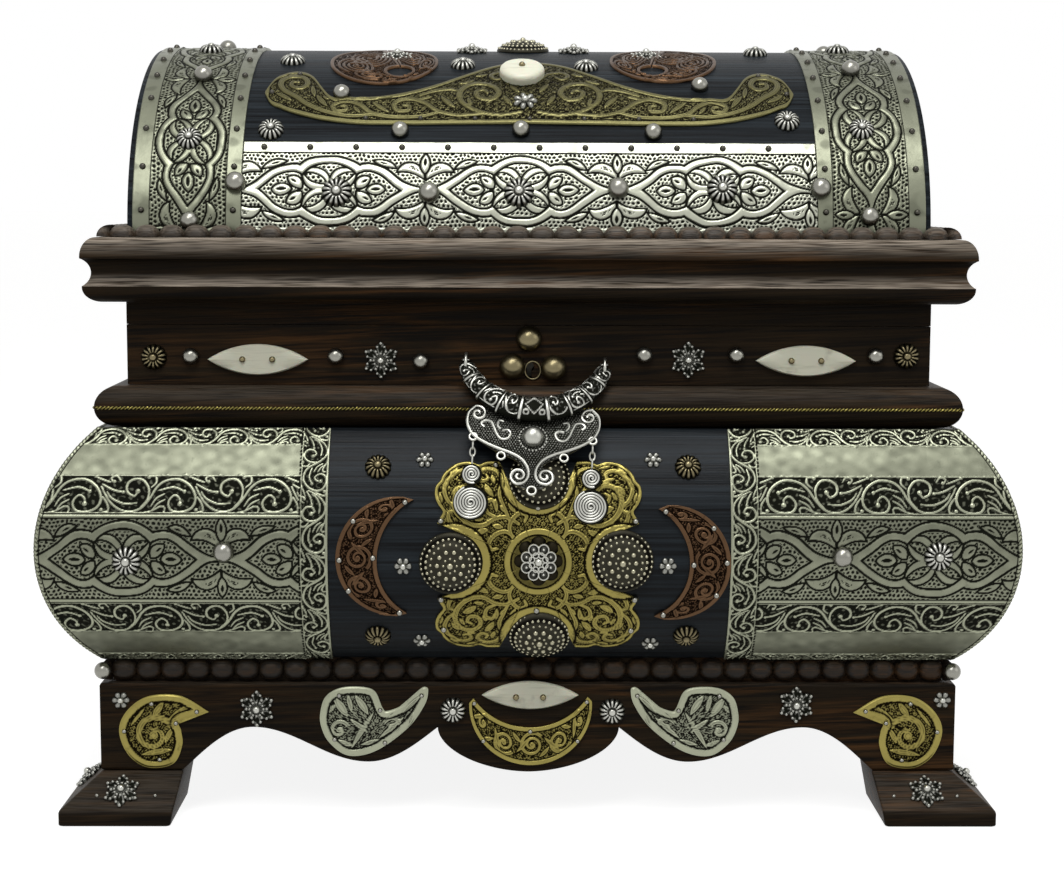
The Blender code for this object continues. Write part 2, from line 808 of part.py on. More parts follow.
def leaf_mesh(up, x):
    """One hinge leaf with its rolled barrel; up is +1 for the lid and -1 for the case."""
    r, t = KNUCKLE_RADIUS, HINGE_SHEET
    lift = math.sqrt(r * r - (r - t) ** 2)
    last = math.atan2(lift, -(r - t)) + 2 * math.pi
    barrel = [(r * math.cos(math.pi + (last - math.pi) * i / 16),
               r * math.sin(math.pi + (last - math.pi) * i / 16)) for i in range(17)]
    loop = [(-r, HINGE_LEAF)] + barrel + [(-r + t, HINGE_LEAF)]
    bore = arc((0, 0), PIN_RADIUS + PIN_CLEARANCE, 0, 2 * math.pi * 15 / 16, 15)
    turn = Matrix(((0, 0, 1), (1, 0, 0), (0, 1, 0))).to_4x4()
    mesh = moved(flat_mesh([loop, bore], HINGE_LENGTH), turn)
    mesh = moved(mesh, Matrix.Diagonal((1, 1, up, 1)))
    return moved(mesh, Matrix.Translation(hinge_point() + Vector((x, 0, 0))))


def leaf_cutter(up, x, x0, x1):
    """Room for the barrel of the other leaf between two places along the hinge."""
    centre = hinge_point() + Vector((x, 0, 0))
    r = KNUCKLE_RADIUS + KNUCKLE_GAP
    low, high = sorted((up * r, -up * 2 * r))
    return moved(box_mesh((x0, -2 * r, low), (x1, 2 * r, high)), Matrix.Translation(centre))


def pendant_frames():
    """Matrices of the hanger, the leaning pendant and the two charms."""
    place = Vector((PENDANT_X, -HALF_D - PENDANT_STANDOFF, NECK_Z0 + PENDANT_Z))
    hanger = Matrix.Translation(place) @ Matrix.Rotation(math.radians(PENDANT_TILT), 4, "Y")
    pendant = hanger @ Matrix.Rotation(-math.radians(PENDANT_LEAN), 4, "X")
    charms = {}
    for name, sign in (("left", -1), ("right", 1)):
        lug = Matrix.Translation((sign * LUG_X, 0, -LUG_DROP - LUG_MAJOR))
        back = Matrix.Rotation(math.radians(PENDANT_LEAN - CHARM_LEAN), 4, "X")
        charms[name] = pendant @ lug @ back
    return hanger, pendant, charms


def staple_mesh(x, hanger):
    """Wire bent round a bar, with both legs against the neck."""
    reach = PENDANT_STANDOFF - GAP
    points = [(x - STAPLE_HALF, reach, 0), (x - STAPLE_HALF, 0.0008, 0), (x - STAPLE_HALF + 0.0008, 0, 0),
              (x + STAPLE_HALF - 0.0008, 0, 0), (x + STAPLE_HALF, 0.0008, 0), (x + STAPLE_HALF, reach, 0)]
    return moved(tube_mesh(points, STAPLE_WIRE, 1), hanger)


def tube_path():
    """Circular sag between the two rings that bows forward, and the radius along it."""
    flat = bowed((-PENDANT_SPAN, -TUBE_START), (PENDANT_SPAN, -TUBE_START),
                 -(TUBE_SAG - TUBE_START), 20)
    line, swell = [], []
    for i, (x, z) in enumerate(flat):
        share = math.sin(math.pi * i / (len(flat) - 1)) ** 0.8
        forward = TUBE_END_FORWARD + (TUBE_FORWARD - TUBE_END_FORWARD) * share
        line.append((x, -forward / TUBE_FLATNESS, z))
        swell.append((TUBE_END_RADIUS + (TUBE_RADIUS - TUBE_END_RADIUS) * share) / TUBE_RADIUS)
    return line, swell


def pendant_tube_mesh():
    """Drooping tube, flattened front to back."""
    line, swell = tube_path()
    mesh = tube_mesh(line, TUBE_RADIUS, 2, swell=swell)
    return moved(mesh, Matrix.Diagonal((1, TUBE_FLATNESS, 1, 1)))


def pendant_ring_mesh(x):
    """Ring at a tube end, round the staple bar."""
    turn = Matrix.Translation((x, 0, -RING_DROP)) @ Matrix.Rotation(math.pi / 2, 4, "Y")
    return moved(ring_mesh(RING_MAJOR, RING_MINOR, 16, 1), turn)


def pendant_plate_mesh():
    """Crescent plate with a drop, under the tube, and a tab that lies behind the tube."""
    half = PENDANT_SPAN
    sag = TUBE_SAG - TUBE_START
    radius = (half ** 2 + sag ** 2) / (2 * sag)
    rise = radius - TUBE_SAG
    clear = radius + TUBE_RADIUS + GAP
    tab = radius + PLATE_TAB
    top = [(r * math.sin(a), rise - r * math.cos(a)) for r, a in
           ((tab, 0.0), (tab, 0.26), (clear, 0.36), (clear, 0.48), (clear, 0.62), (clear, 0.76))]
    wing = ((0.938, 0.429), (0.923, 0.526), (0.825, 0.598), (0.523, 0.714), (0.246, 0.789),
            (0.129, 0.854), (0.271, 0.902), (0.262, 0.962), (0.123, 0.988), (0, 1))
    low = [(across * half, -down * PENDANT_LENGTH) for across, down in wing]
    loop = mirrored(top + low)
    turn = Matrix(((1, 0, 0), (0, 0, -1), (0, 1, 0))).to_4x4()
    return moved(flat_mesh([loop], PENDANT_PLATE), turn)


def lug_mesh(x):
    """Small ring under a wing of the plate."""
    turn = Matrix.Translation((x, 0, -LUG_DROP)) @ Matrix.Rotation(math.pi / 2, 4, "X")
    return moved(ring_mesh(LUG_MAJOR, LUG_MINOR, 14, 1), turn)


def charm_line(sign):
    """One wire wound as a large and a small spiral, as points across and down."""
    small_drop = CHARM_BIG_DROP - CHARM_BIG - CHARM_SMALL
    line = []
    turns = (CHARM_BIG - 0.0009) / CHARM_TURN
    count = round(turns * 13)
    for i in range(count + 1):
        turn = turns * (1 - i / count)
        radius = CHARM_BIG - CHARM_TURN * turn
        a = math.pi / 2 - 2 * math.pi * turn
        line.append((sign * radius * math.cos(a), -CHARM_BIG_DROP + radius * math.sin(a)))
    turns = (CHARM_SMALL - 0.0009) / CHARM_TURN
    count = round(turns * 11)
    for i in range(1, count + 1):
        turn = turns * i / count
        radius = CHARM_SMALL - CHARM_TURN * turn
        a = -math.pi / 2 - 2 * math.pi * turn
        line.append((sign * radius * math.cos(a), -small_drop + radius * math.sin(a)))
    return line, small_drop


def least_gap(line, diameter, apart):
    """Least clear distance of a wire to itself, leaving out neighbours within a length."""
    best = 1.0
    run = [0.0]
    for a, b in zip(line, line[1:]):
        run.append(run[-1] + math.dist(a, b))
    for i, a in enumerate(line):
        for j in range(i + 1, len(line)):
            if run[j] - run[i] > apart:
                best = min(best, math.dist(a, line[j]) - diameter)
    return best


def add_charm(builder, name, sign, matrix, parent):
    """Charm of spirals with an eye, and the long link that it hangs by."""
    line, small_drop = charm_line(sign)
    print(name, "least gap of the wire to itself, mm:",
          round(1000 * least_gap(line, 2 * CHARM_WIRE, 4 * CHARM_TURN), 3))
    pivot = builder.pivot(name + "_pivot", matrix, parent)
    spiral = moved(tube_mesh([(x, 0, z) for x, z in line], CHARM_WIRE, 1), matrix)
    charm = builder.add(name, spiral, "old_silver", pivot)
    eye_z = -small_drop + CHARM_SMALL + CHARM_EYE
    eye = moved(ring_mesh(CHARM_EYE, CHARM_WIRE, 12, 1),
                matrix @ Matrix.Translation((0, 0, eye_z)) @ Matrix.Rotation(math.pi / 2, 4, "X"))
    builder.cut(charm, eye, "UNION")
    low = eye_z + CHARM_EYE
    length = LINK_TOP - low - 2 * LINK_HALF_WIDTH
    link = arc((0, LINK_TOP - LINK_HALF_WIDTH), LINK_HALF_WIDTH, 0, math.pi, 6)
    link += [(-y, z - length) for y, z in [(-u, 2 * (LINK_TOP - LINK_HALF_WIDTH) - v)
                                           for u, v in link]]
    link_mesh = tube_mesh([(0, y, z) for y, z in link], CHARM_WIRE * 0.9, 1, closed=True)
    builder.cut(charm, moved(link_mesh, matrix), "UNION")
    return charm


def build_base(builder):
    """Feet, aprons, bottom board and the bead strip round it."""
    for name, sx, sy in (("front_left", -1, -1), ("front_right", 1, -1),
                         ("back_left", -1, 1), ("back_right", 1, 1)):
        builder.add("foot_" + name, foot_mesh(sx, sy), "stained_wood")
    for side in SIDES:
        builder.add("apron_" + side, apron_mesh(side), "stained_wood")
    edge = APRON_OUT - BEAD_RADIUS - GAP
    board = box_mesh((-HALF_W - edge, -HALF_D - edge, BASE_Z0), (HALF_W + edge, HALF_D + edge, BASE_Z1))
    builder.add("bottom_board", board, "stained_wood")
    beads = bead_ring(edge + GAP, (BASE_Z0 + BASE_Z1) / 2, "out")
    builder.add("base_bead_strip", beads, "stained_wood")


def build_case(builder):
    """Curved belly boards, waist moulding and neck, with the keyhole."""
    section = belly_arc(0) + list(reversed(belly_arc_inner()))
    for side in SIDES:
        builder.add("belly_" + side, run_mesh(section, side), "black_paint")
    for side in SIDES:
        builder.add("waist_moulding_" + side, run_mesh(waist_outline(), side), "stained_wood")
    neck = rectangle(-BOARD, 0, NECK_Z0, NECK_Z1)
    boards = {side: builder.add("neck_" + side, run_mesh(neck, side), "stained_wood")
              for side in SIDES}
    builder.cut(boards["front"], keyhole_mesh())


def belly_arc_inner():
    """Inside of a belly board, from the top down: an arc between the inner edges of its seats."""
    out = BELLY_SEAT - BELLY_BEARING
    hollow = BELLY_BULGE - BELLY_BOARD + BELLY_BEARING
    return bowed((out, BELLY_Z1), (out, BELLY_Z0), hollow, BELLY_STEPS)


def keyhole_mesh():
    """Round hole with a slot under it, right through the front of the neck."""
    z = NECK_Z0 + KEYHOLE_Z
    half = KEYHOLE_SLOT / 2
    start = math.asin(half / KEYHOLE_RADIUS)
    top = arc((0, z), KEYHOLE_RADIUS, start - math.pi / 2, 1.5 * math.pi - start, 14)
    loop = top + [(-half, z - KEYHOLE_LENGTH), (half, z - KEYHOLE_LENGTH)]
    turn = Matrix(((1, 0, 0), (0, 0, -1), (0, 1, 0))).to_4x4()
    return moved(flat_mesh([loop], BOARD * 2), Matrix.Translation((0, -HALF_D + BOARD / 2, 0)) @ turn)


def build_lid(builder, lid):
    """Lid frame, cornice, bead strip and the barrel dome with its two end panels."""
    frame = rectangle(-BOARD, 0, LID_Z0, CORNICE_Z1)
    for side in SIDES:
        builder.add("lid_frame_" + side, run_mesh(frame, side), "stained_wood", lid)
    for side in SIDES:
        builder.add("cornice_" + side, run_mesh(cornice_outline(), side), "stained_wood", lid)
    builder.add("lid_bead_strip", bead_ring(BEAD_RADIUS + GAP, DOME_Z0, "up"), "stained_wood", lid)
    steps = range(DOME_STEPS + 1)
    outer = [dome_place(math.pi * i / DOME_STEPS, 0) for i in steps]
    a, b = DOME_A - DOME_SHELL, DOME_B - DOME_SHELL
    inner = [(-a * math.cos(math.pi * i / DOME_STEPS), DOME_Z0 + b * math.sin(math.pi * i / DOME_STEPS))
             for i in steps]
    shell = along_x(outer + list(reversed(inner)), -DOME_HALF_W, DOME_HALF_W)
    builder.add("dome_shell", shell, "black_paint", lid)
    a, b = a - GAP, b - GAP
    panel = [(-a * math.cos(math.pi * i / DOME_STEPS), DOME_Z0 + b * math.sin(math.pi * i / DOME_STEPS))
             for i in steps]
    for name, sx in (("left", -1), ("right", 1)):
        ends = sorted((sx * DOME_HALF_W, sx * (DOME_HALF_W - END_PANEL)))
        builder.add("dome_end_" + name, along_x(panel, *ends), "stained_wood", lid)


def build_mounts(builder, lid):
    """Thin metal on the dome and the belly, and bone on the neck."""
    foot = dome_angle(BAND_FOOT)
    arch = dome_section(foot, math.pi - foot, GAP, GAP + SHEET, DOME_STEPS)
    for name, sx in (("left", -1), ("right", 1)):
        ends = sorted((sx * ARCH_BAND_INNER, sx * (ARCH_BAND_INNER + ARCH_BAND_WIDTH)))
        builder.add("dome_band_" + name, along_x(arch, *ends), "white_metal", lid)
    front = dome_section(foot, dome_angle(FRONT_BAND_TOP), GAP, GAP + SHEET, 8)
    inner = ARCH_BAND_INNER - GAP
    builder.add("dome_band_front", along_x(front, -inner, inner), "white_metal", lid)
    plaque = bent_plate(moustache_loop(), on_dome, PLATE, 0.009)
    builder.add("dome_plaque", plaque, "brass", lid)

    for name, sx in (("left", -1), ("right", 1)):
        builder.add("belly_cladding_" + name, cladding_mesh(sx), "white_metal")
        builder.add("belly_crescent_" + name, bent_plate(crescent_loop(sx), on_belly, PLATE, 0.007), "copper")
        builder.add("bone_almond_" + name, almond_mesh(sx * ALMOND_X), "bone")
    plate = bent_plate([(x + PLAQUE_X, s + PLAQUE_S) for x, s in plaque_outline()], on_belly, PLATE, 0.007)
    plaque = builder.add("belly_plaque", plate, "brass")
    level = GAP + PLATE / 2
    spots = [(BOSS_REACH * math.cos(math.pi / 2 * i), BOSS_REACH * math.sin(math.pi / 2 * i),
              BOSS_RADIUS, BOSS_HEIGHT) for i in range(4)]
    spots.append((0, 0, ROSETTE_RADIUS, ROSETTE_HEIGHT))
    for x, s, radius, height in spots:
        place = belly_frame(PLAQUE_X + x, PLAQUE_S + s, level)
        builder.cut(plaque, moved(dome_boss(radius, height, 0.0002), place), "UNION")


def build_hinges(builder, lid):
    """Two butt hinges: a leaf on the case, a leaf on the lid and a pin in each."""
    third = HINGE_LENGTH / 6
    for name, sx in (("left", -1), ("right", 1)):
        x = sx * HINGE_X
        leaf = builder.add("hinge_case_leaf_" + name, leaf_mesh(-1, x), "iron")
        builder.cut(leaf, leaf_cutter(-1, x, -third - KNUCKLE_GAP / 2, third + KNUCKLE_GAP / 2))
        leaf = builder.add("hinge_lid_leaf_" + name, leaf_mesh(1, x), "iron", lid)
        for way in (-1, 1):
            ends = sorted((way * (third - KNUCKLE_GAP / 2), way * HINGE_LENGTH))
            builder.cut(leaf, leaf_cutter(1, x, *ends))
        turn = Matrix.Translation(hinge_point() + Vector((x, 0, 0))) @ Matrix.Rotation(math.pi / 2, 4, "Y")
        pin = moved(cylinder_mesh(PIN_RADIUS, HINGE_LENGTH + 0.001, 16), turn)
        builder.add("hinge_pin_" + name, pin, "iron")


def build_lock(builder, lid):
    """Chest lock inside the front, its bolt, and the tongue on the lid that the bolt passes."""
    y0 = -HALF_D + BOARD + GAP
    y1 = y0 + LOCK_DEPTH
    z1 = NECK_Z1 - LOCK_DROP
    z0 = z1 - LOCK_HEIGHT
    middle = (y0 + y1) / 2
    case = builder.add("lock_case", box_mesh((-LOCK_WIDTH / 2, y0, z0), (LOCK_WIDTH / 2, y1, z1)), "iron")
    tongue_low = LID_Z0 - TONGUE_REACH
    clear = TONGUE_CLEARANCE
    half = TONGUE_THICKNESS / 2
    slot = box_mesh((-half - clear, middle - TONGUE_WIDTH / 2 - clear, tongue_low - clear),
                    (half + clear, middle + TONGUE_WIDTH / 2 + clear, z1 + 0.01))
    eye_z = tongue_low + EYE_MARGIN + BOLT_CLEARANCE + BOLT_HEIGHT / 2
    bolt_x0 = -half - BOLT_REST - BOLT_LENGTH
    tall = BOLT_HEIGHT / 2 + BOLT_CLEARANCE
    deep = BOLT_DEPTH / 2 + BOLT_CLEARANCE
    channel = box_mesh((bolt_x0 - BOLT_CLEARANCE, y0 - 0.01, eye_z - tall),
                       (half + BOLT_LENGTH * 0.6, middle + deep, eye_z + tall))
    builder.cut(case, slot)
    builder.cut(case, channel)

    bolt_pivot = builder.pivot("lock_bolt_pivot", Matrix.Translation((bolt_x0, middle, eye_z)))
    bolt = box_mesh((bolt_x0, middle - BOLT_DEPTH / 2, eye_z - BOLT_HEIGHT / 2),
                    (bolt_x0 + BOLT_LENGTH, middle + BOLT_DEPTH / 2, eye_z + BOLT_HEIGHT / 2))
    builder.add("lock_bolt", bolt, "brass", bolt_pivot)

    low = LID_Z0 + 0.002
    plate = box_mesh((-STRIKE_WIDTH / 2, y0, low), (STRIKE_WIDTH / 2, y0 + STRIKE_SHEET, low + STRIKE_HEIGHT))
    strike = builder.add("lock_strike", plate, "iron", lid)
    tongue = box_mesh((-half, middle - TONGUE_WIDTH / 2, tongue_low),
                      (half, middle + TONGUE_WIDTH / 2, low + 0.008))
    builder.cut(strike, tongue, "UNION")
    bridge = box_mesh((-half, y0 + STRIKE_SHEET / 2, low + 0.003), (half, middle, low + 0.0075))
    builder.cut(strike, bridge, "UNION")
    eye = box_mesh((-0.01, middle - deep, eye_z - tall), (0.01, middle + deep, eye_z + tall))
    builder.cut(strike, eye)


def build_pendant(builder):
    """Staples in the neck, the pendant on them and two charms on the pendant."""
    hanger, frame, charms = pendant_frames()
    for name, sx in (("left", -1), ("right", 1)):
        builder.add("pendant_staple_" + name, staple_mesh(sx * PENDANT_SPAN, hanger), "old_silver")
    pivot = builder.pivot("pendant_pivot", frame)
    tube = builder.add("pendant_tube", moved(pendant_tube_mesh(), frame), "old_silver", pivot)
    for sx in (-1, 1):
        builder.cut(tube, moved(pendant_ring_mesh(sx * PENDANT_SPAN), frame), "UNION")
    plate = builder.add("pendant_plate", moved(pendant_plate_mesh(), frame), "old_silver", pivot)
    for sx in (-1, 1):
        builder.cut(plate, moved(lug_mesh(sx * LUG_X), frame), "UNION")
    for name, sign in (("left", -1), ("right", 1)):
        add_charm(builder, "charm_" + name, sign, charms[name], pivot)
    for name, matrix in (("pendant", frame), ("charm left", charms["left"]), ("charm right", charms["right"])):
        print(name, "axis at", [round(v, 6) for v in matrix.translation],
              "along", [round(-v, 6) for v in matrix.col[0][:3]])


def main():
    """Builds the whole casket."""
    clear_scene()
    builder = Builder()
    build_base(builder)
    build_case(builder)
    lid = builder.pivot("lid_pivot", Matrix.Translation(hinge_point()))
    build_lid(builder, lid)
    build_mounts(builder, lid)
    build_hinges(builder, lid)
    build_lock(builder, lid)
    build_pendant(builder)
    print("lid axis at", [round(v, 6) for v in hinge_point()])


main()
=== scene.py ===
"""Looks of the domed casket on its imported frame: fine mouldings, embossed sheet metal, plaques,
nails, the hanging pendant and the stage. Shapes are worked out in millimetres and stored in metres.
"""

import math
from functools import partial

import bpy
import numpy as np
from mathutils import Matrix


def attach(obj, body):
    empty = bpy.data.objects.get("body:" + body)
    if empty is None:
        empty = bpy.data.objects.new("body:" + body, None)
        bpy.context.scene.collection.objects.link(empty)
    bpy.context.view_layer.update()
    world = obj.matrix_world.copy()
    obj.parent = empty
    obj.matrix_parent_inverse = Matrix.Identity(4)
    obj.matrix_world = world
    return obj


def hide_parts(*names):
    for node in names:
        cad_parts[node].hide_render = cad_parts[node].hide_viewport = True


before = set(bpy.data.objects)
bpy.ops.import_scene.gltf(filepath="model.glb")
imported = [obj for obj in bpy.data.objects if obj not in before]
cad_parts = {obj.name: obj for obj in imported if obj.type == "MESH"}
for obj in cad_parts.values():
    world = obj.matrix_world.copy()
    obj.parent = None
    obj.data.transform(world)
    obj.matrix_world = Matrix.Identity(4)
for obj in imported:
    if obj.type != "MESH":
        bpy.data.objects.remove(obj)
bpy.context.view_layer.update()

bl_info = {
    "name": "Domed casket looks",
    "version": (1, 0, 0),
    "blender": (4, 5, 0),
    "location": "3D View > Sidebar > Casket",
    "description": "Dresses the casket's frame with its wood, embossed metal, nails and pendant",
    "category": "Object",
}

# Sizes of the frame in millimetres: half width and half depth of the neck, thickness of its boards,
# and the heights, reach and curves of what is below and above it
HALF_W, HALF_D, BOARD = 189.0, 125.0, 14.0
APRON_Z0, APRON_Z1, APRON_OUT, LEG = 22.3, 64.3, 13.5, 38.8
BELLY_Z0, BELLY_Z1, BELLY_R, BELLY_AXIS = 76.4, 185.4, 71.1695, -35.1695
BELLY_MID = (BELLY_Z0 + BELLY_Z1) / 2
WAIST_Z0, WAIST_Z1, WAIST_OUT = 185.7, 204.7, 13.4
CORNICE_Z0, CORNICE_Z1 = 244.0, 274.0
DOME_Z0, DOME_A, DOME_B, DOME_HALF, DOME_WALL = 274.3, 124.0, 94.0, 188.0, 10.0
# Inner edge of the belly cladding, and how far plain sheet metal stands off its wood
CLAD_INNER, SHEET_TOP = 92.4, 1.0

# Each side: the way along it, the way out of it, half its length and its distance from the middle
SIDES = {
    "front": ((1, 0, 0), (0, -1, 0), HALF_W, HALF_D),
    "right": ((0, 1, 0), (1, 0, 0), HALF_D, HALF_W),
    "back": ((-1, 0, 0), (0, 1, 0), HALF_W, HALF_D),
    "left": ((0, -1, 0), (-1, 0, 0), HALF_D, HALF_W),
}
ENDS = (("left", -1), ("right", 1))

# Length of the dome's curve from its front foot for each turn of its ellipse
DOME_TURN = np.linspace(0, math.pi, 2001)
DOME_ARC = np.concatenate([[0], np.cumsum(np.hypot(np.diff(-DOME_A * np.cos(DOME_TURN)),
                                                   np.diff(DOME_B * np.sin(DOME_TURN))))])


def linear(text):
    """Linear red, green, blue and alpha of an sRGB colour written as hex."""
    parts = [int(text[i:i + 2], 16) / 255 for i in (1, 3, 5)]
    return tuple(c / 12.92 if c <= 0.04045 else ((c + 0.055) / 1.055) ** 2.4 for c in parts) + (1.0,)


def colour(label, note, text):
    """Property of one colour, with its default from sRGB hex."""
    return bpy.props.FloatVectorProperty(name=label, description=note, subtype="COLOR", size=4,
                                         min=0, max=1, default=linear(text))


def length(label, note, value):
    """Property of one length, with its default in metres."""
    return bpy.props.FloatProperty(name=label, description=note, default=value, unit="LENGTH")


class CasketSizes(bpy.types.PropertyGroup):
    """Sizes that a user may change."""
    emboss: length("Embossing", "Height of the beaten relief", 0.0006)
    ball: length("Ball nail", "Radius of a plain round nail head", 0.0040)
    daisy: length("Fluted nail", "Radius of a fluted nail head", 0.0062)
    star: length("Star", "Radius of a pierced star", 0.0082)
    boss: length("Boss", "Radius of a beaded boss", 0.0145)


class CasketColours(bpy.types.PropertyGroup):
    """Colours that a user may change."""
    wood: colour("Wood", "Dark stained pine", "#2d2419")
    streak: colour("Wood streak", "Brown grain that shows through the stain", "#68472a")
    # Lighter grey for dust and wear, which also paints top light on wood that faces up
    dust: colour("Dust", "Worn and dusty wood that faces up", "#a5998a")
    paint: colour("Paint", "Black paint on the belly and dome", "#3a4248")
    white_metal: colour("White metal", "Embossed sheet on the dome", "#b2b4a4")
    # A darker copy of the dome's front sheet, part tarnish and part painted shade, for the belly, the dome's
    # end arches and the apron's paisleys
    grey_metal: colour("Tarnished white metal", "Embossed sheet on the belly", "#9a9d88")
    silver: colour("Old silver", "Pendant and pierced stars", "#b6b6ae")
    brass: colour("Brass", "Yellow plaques", "#8f8449")
    dark_brass: colour("Dark brass", "Yellow fluted nails", "#7a7156")
    dull_brass: colour("Dull brass", "Moustache plaque", "#6b6744")
    gunmetal: colour("Gunmetal", "Beaded bosses", "#a09c86")
    copper: colour("Copper", "Red crescents", "#5a4431")
    bone: colour("Bone", "Almonds and disc", "#e9e8d2")
    # Also the colour of painted shade on nail heads and of painted reflection on the belly sheet
    patina: colour("Patina", "Black in the hollows of the metal", "#171813")


def smooth(low, high, value):
    """Goes from 0 at low to 1 at high along an S curve."""
    t = np.clip((value - low) / (high - low), 0, 1)
    return t * t * (3 - 2 * t)


def ripple(u, v, size, seed):
    """Even random-looking swell between -1 and 1: a sum of waves in six directions."""
    ways = seed + np.arange(6) * 2.39996
    scale = 2 * math.pi / size * (0.7 + 0.25 * np.arange(6) / 2)
    return sum(np.sin(k * (u * math.cos(a) + v * math.sin(a)) + 5.1 * a * a)
               for k, a in zip(scale, ways)) / 3.2


def curve(x, points):
    """Smooth line through points (x, y), cubic between neighbours: its height and slope at x."""
    xs, ys = np.array(points, float).T
    slopes = np.gradient(ys, xs)
    i = np.clip(np.searchsorted(xs, x) - 1, 0, len(xs) - 2)
    w = xs[i + 1] - xs[i]
    t = np.clip((x - xs[i]) / w, 0, 1)
    y = ((1 + 2 * t) * (1 - t) ** 2 * ys[i] + t * (1 - t) ** 2 * w * slopes[i]
         + t * t * (3 - 2 * t) * ys[i + 1] + t * t * (t - 1) * w * slopes[i + 1])
    rise = (6 * t * (1 - t) * (ys[i + 1] - ys[i]) / w + (1 - t) * (1 - 3 * t) * slopes[i]
            + t * (3 * t - 2) * slopes[i + 1])
    return y, rise


def through(points, steps, closed=False):
    """Smooth path through points, each stretch a cubic set by its four nearest points."""
    p = np.array(points, float)
    before, after = (p[-1:], p[:2]) if closed else (2 * p[:1] - p[1:2], 2 * p[-1:] - p[-2:-1])
    p = np.concatenate([before, p, after])
    t = (np.arange(steps) / steps)[:, None]
    a, b, c, d = (p[k:len(p) - 3 + k, None, :] for k in range(4))
    path = 0.5 * (2 * b + (c - a) * t + (2 * a - 5 * b + 4 * c - d) * t ** 2
                  + (3 * b - a - 3 * c + d) * t ** 3)
    path = path.reshape(-1, p.shape[1])
    return path if closed else np.concatenate([path, p[-2:-1]])


def turns(count):
    """Angles once round in equal steps."""
    return 2 * math.pi * np.arange(count) / count


def leaf(u, v, a, b, left, right):
    """Signed distance to a leaf from a to b between two arcs that stand off by left and right."""
    half = math.hypot(b[0] - a[0], b[1] - a[1]) / 2
    dx, dy = (b[0] - a[0]) / (2 * half), (b[1] - a[1]) / (2 * half)
    x, y = u - (a[0] + b[0]) / 2, v - (a[1] + b[1]) / 2
    p, q = x * dx + y * dy, y * dx - x * dy
    far = None
    for side, sag in ((q, left), (-q, right)):
        r = (half * half + sag * sag) / (2 * abs(sag))
        d = np.hypot(p, side - sag + r) - r if sag > 0 else r - np.hypot(p, side - sag - r)
        far = d if far is None else np.maximum(far, d)
    return far


def spiral(u, v, centre, radius, pitch, turn, hand):
    """Distance to a line that winds in from its outer end at an angle, and how far in it is."""
    x, y = u - centre[0], v - centre[1]
    r = np.hypot(x, y)
    a = np.mod(hand * (np.arctan2(y, x) - turn) / (2 * math.pi), 1)
    most = radius / pitch - 0.35
    k = np.clip(np.round((radius - r) / pitch - a), 0, np.floor(np.maximum(most - a, 0)))
    return np.abs(r - radius + pitch * (a + k)), (a + k) * pitch / radius


def dots(u, v, apart, radius):
    """1 on round pits in staggered rows, a little out of line as by hand, 0 between them."""
    stray, row_step = 0.22 * apart, 0.866 * apart
    u, v = u + stray * ripple(u, v, 4.9 * apart, 0.3), v + stray * ripple(u, v, 5.3 * apart, 2.9)
    row = np.round(v / row_step)
    x = u / apart - 0.5 * np.mod(row, 2)
    d = np.hypot((x - np.round(x)) * apart, v - row * row_step)
    return 1 - smooth(radius - 0.12, radius + 0.12, d)


def line(d, width):
    """1 on a line of that width where the distance is 0, with a soft edge."""
    return 1 - smooth(width / 2 - 0.16, width / 2 + 0.16, np.abs(d))


# Half length of a medallion and half width of its chain, and the outer and inner edge of its ribbon
HALF_MEDALLION, HALF_CHAIN = 45.0, 18.4
RIBBON_OUTER = ((6, 0), (11.5, 9.0), (13.6, 12.0), (17, 13.0), (21, 12.6), (26.5, 10.2), (31, 6.9),
                (35.6, 3.6), (39.5, 1.8), (46, 0.8))
RIBBON_INNER = ((11.6, 2), (13.2, 7.0), (15.2, 8.6), (18.4, 9.1), (23.7, 7.3), (29.0, 3.4), (33.4, 0),
                (46, -10))


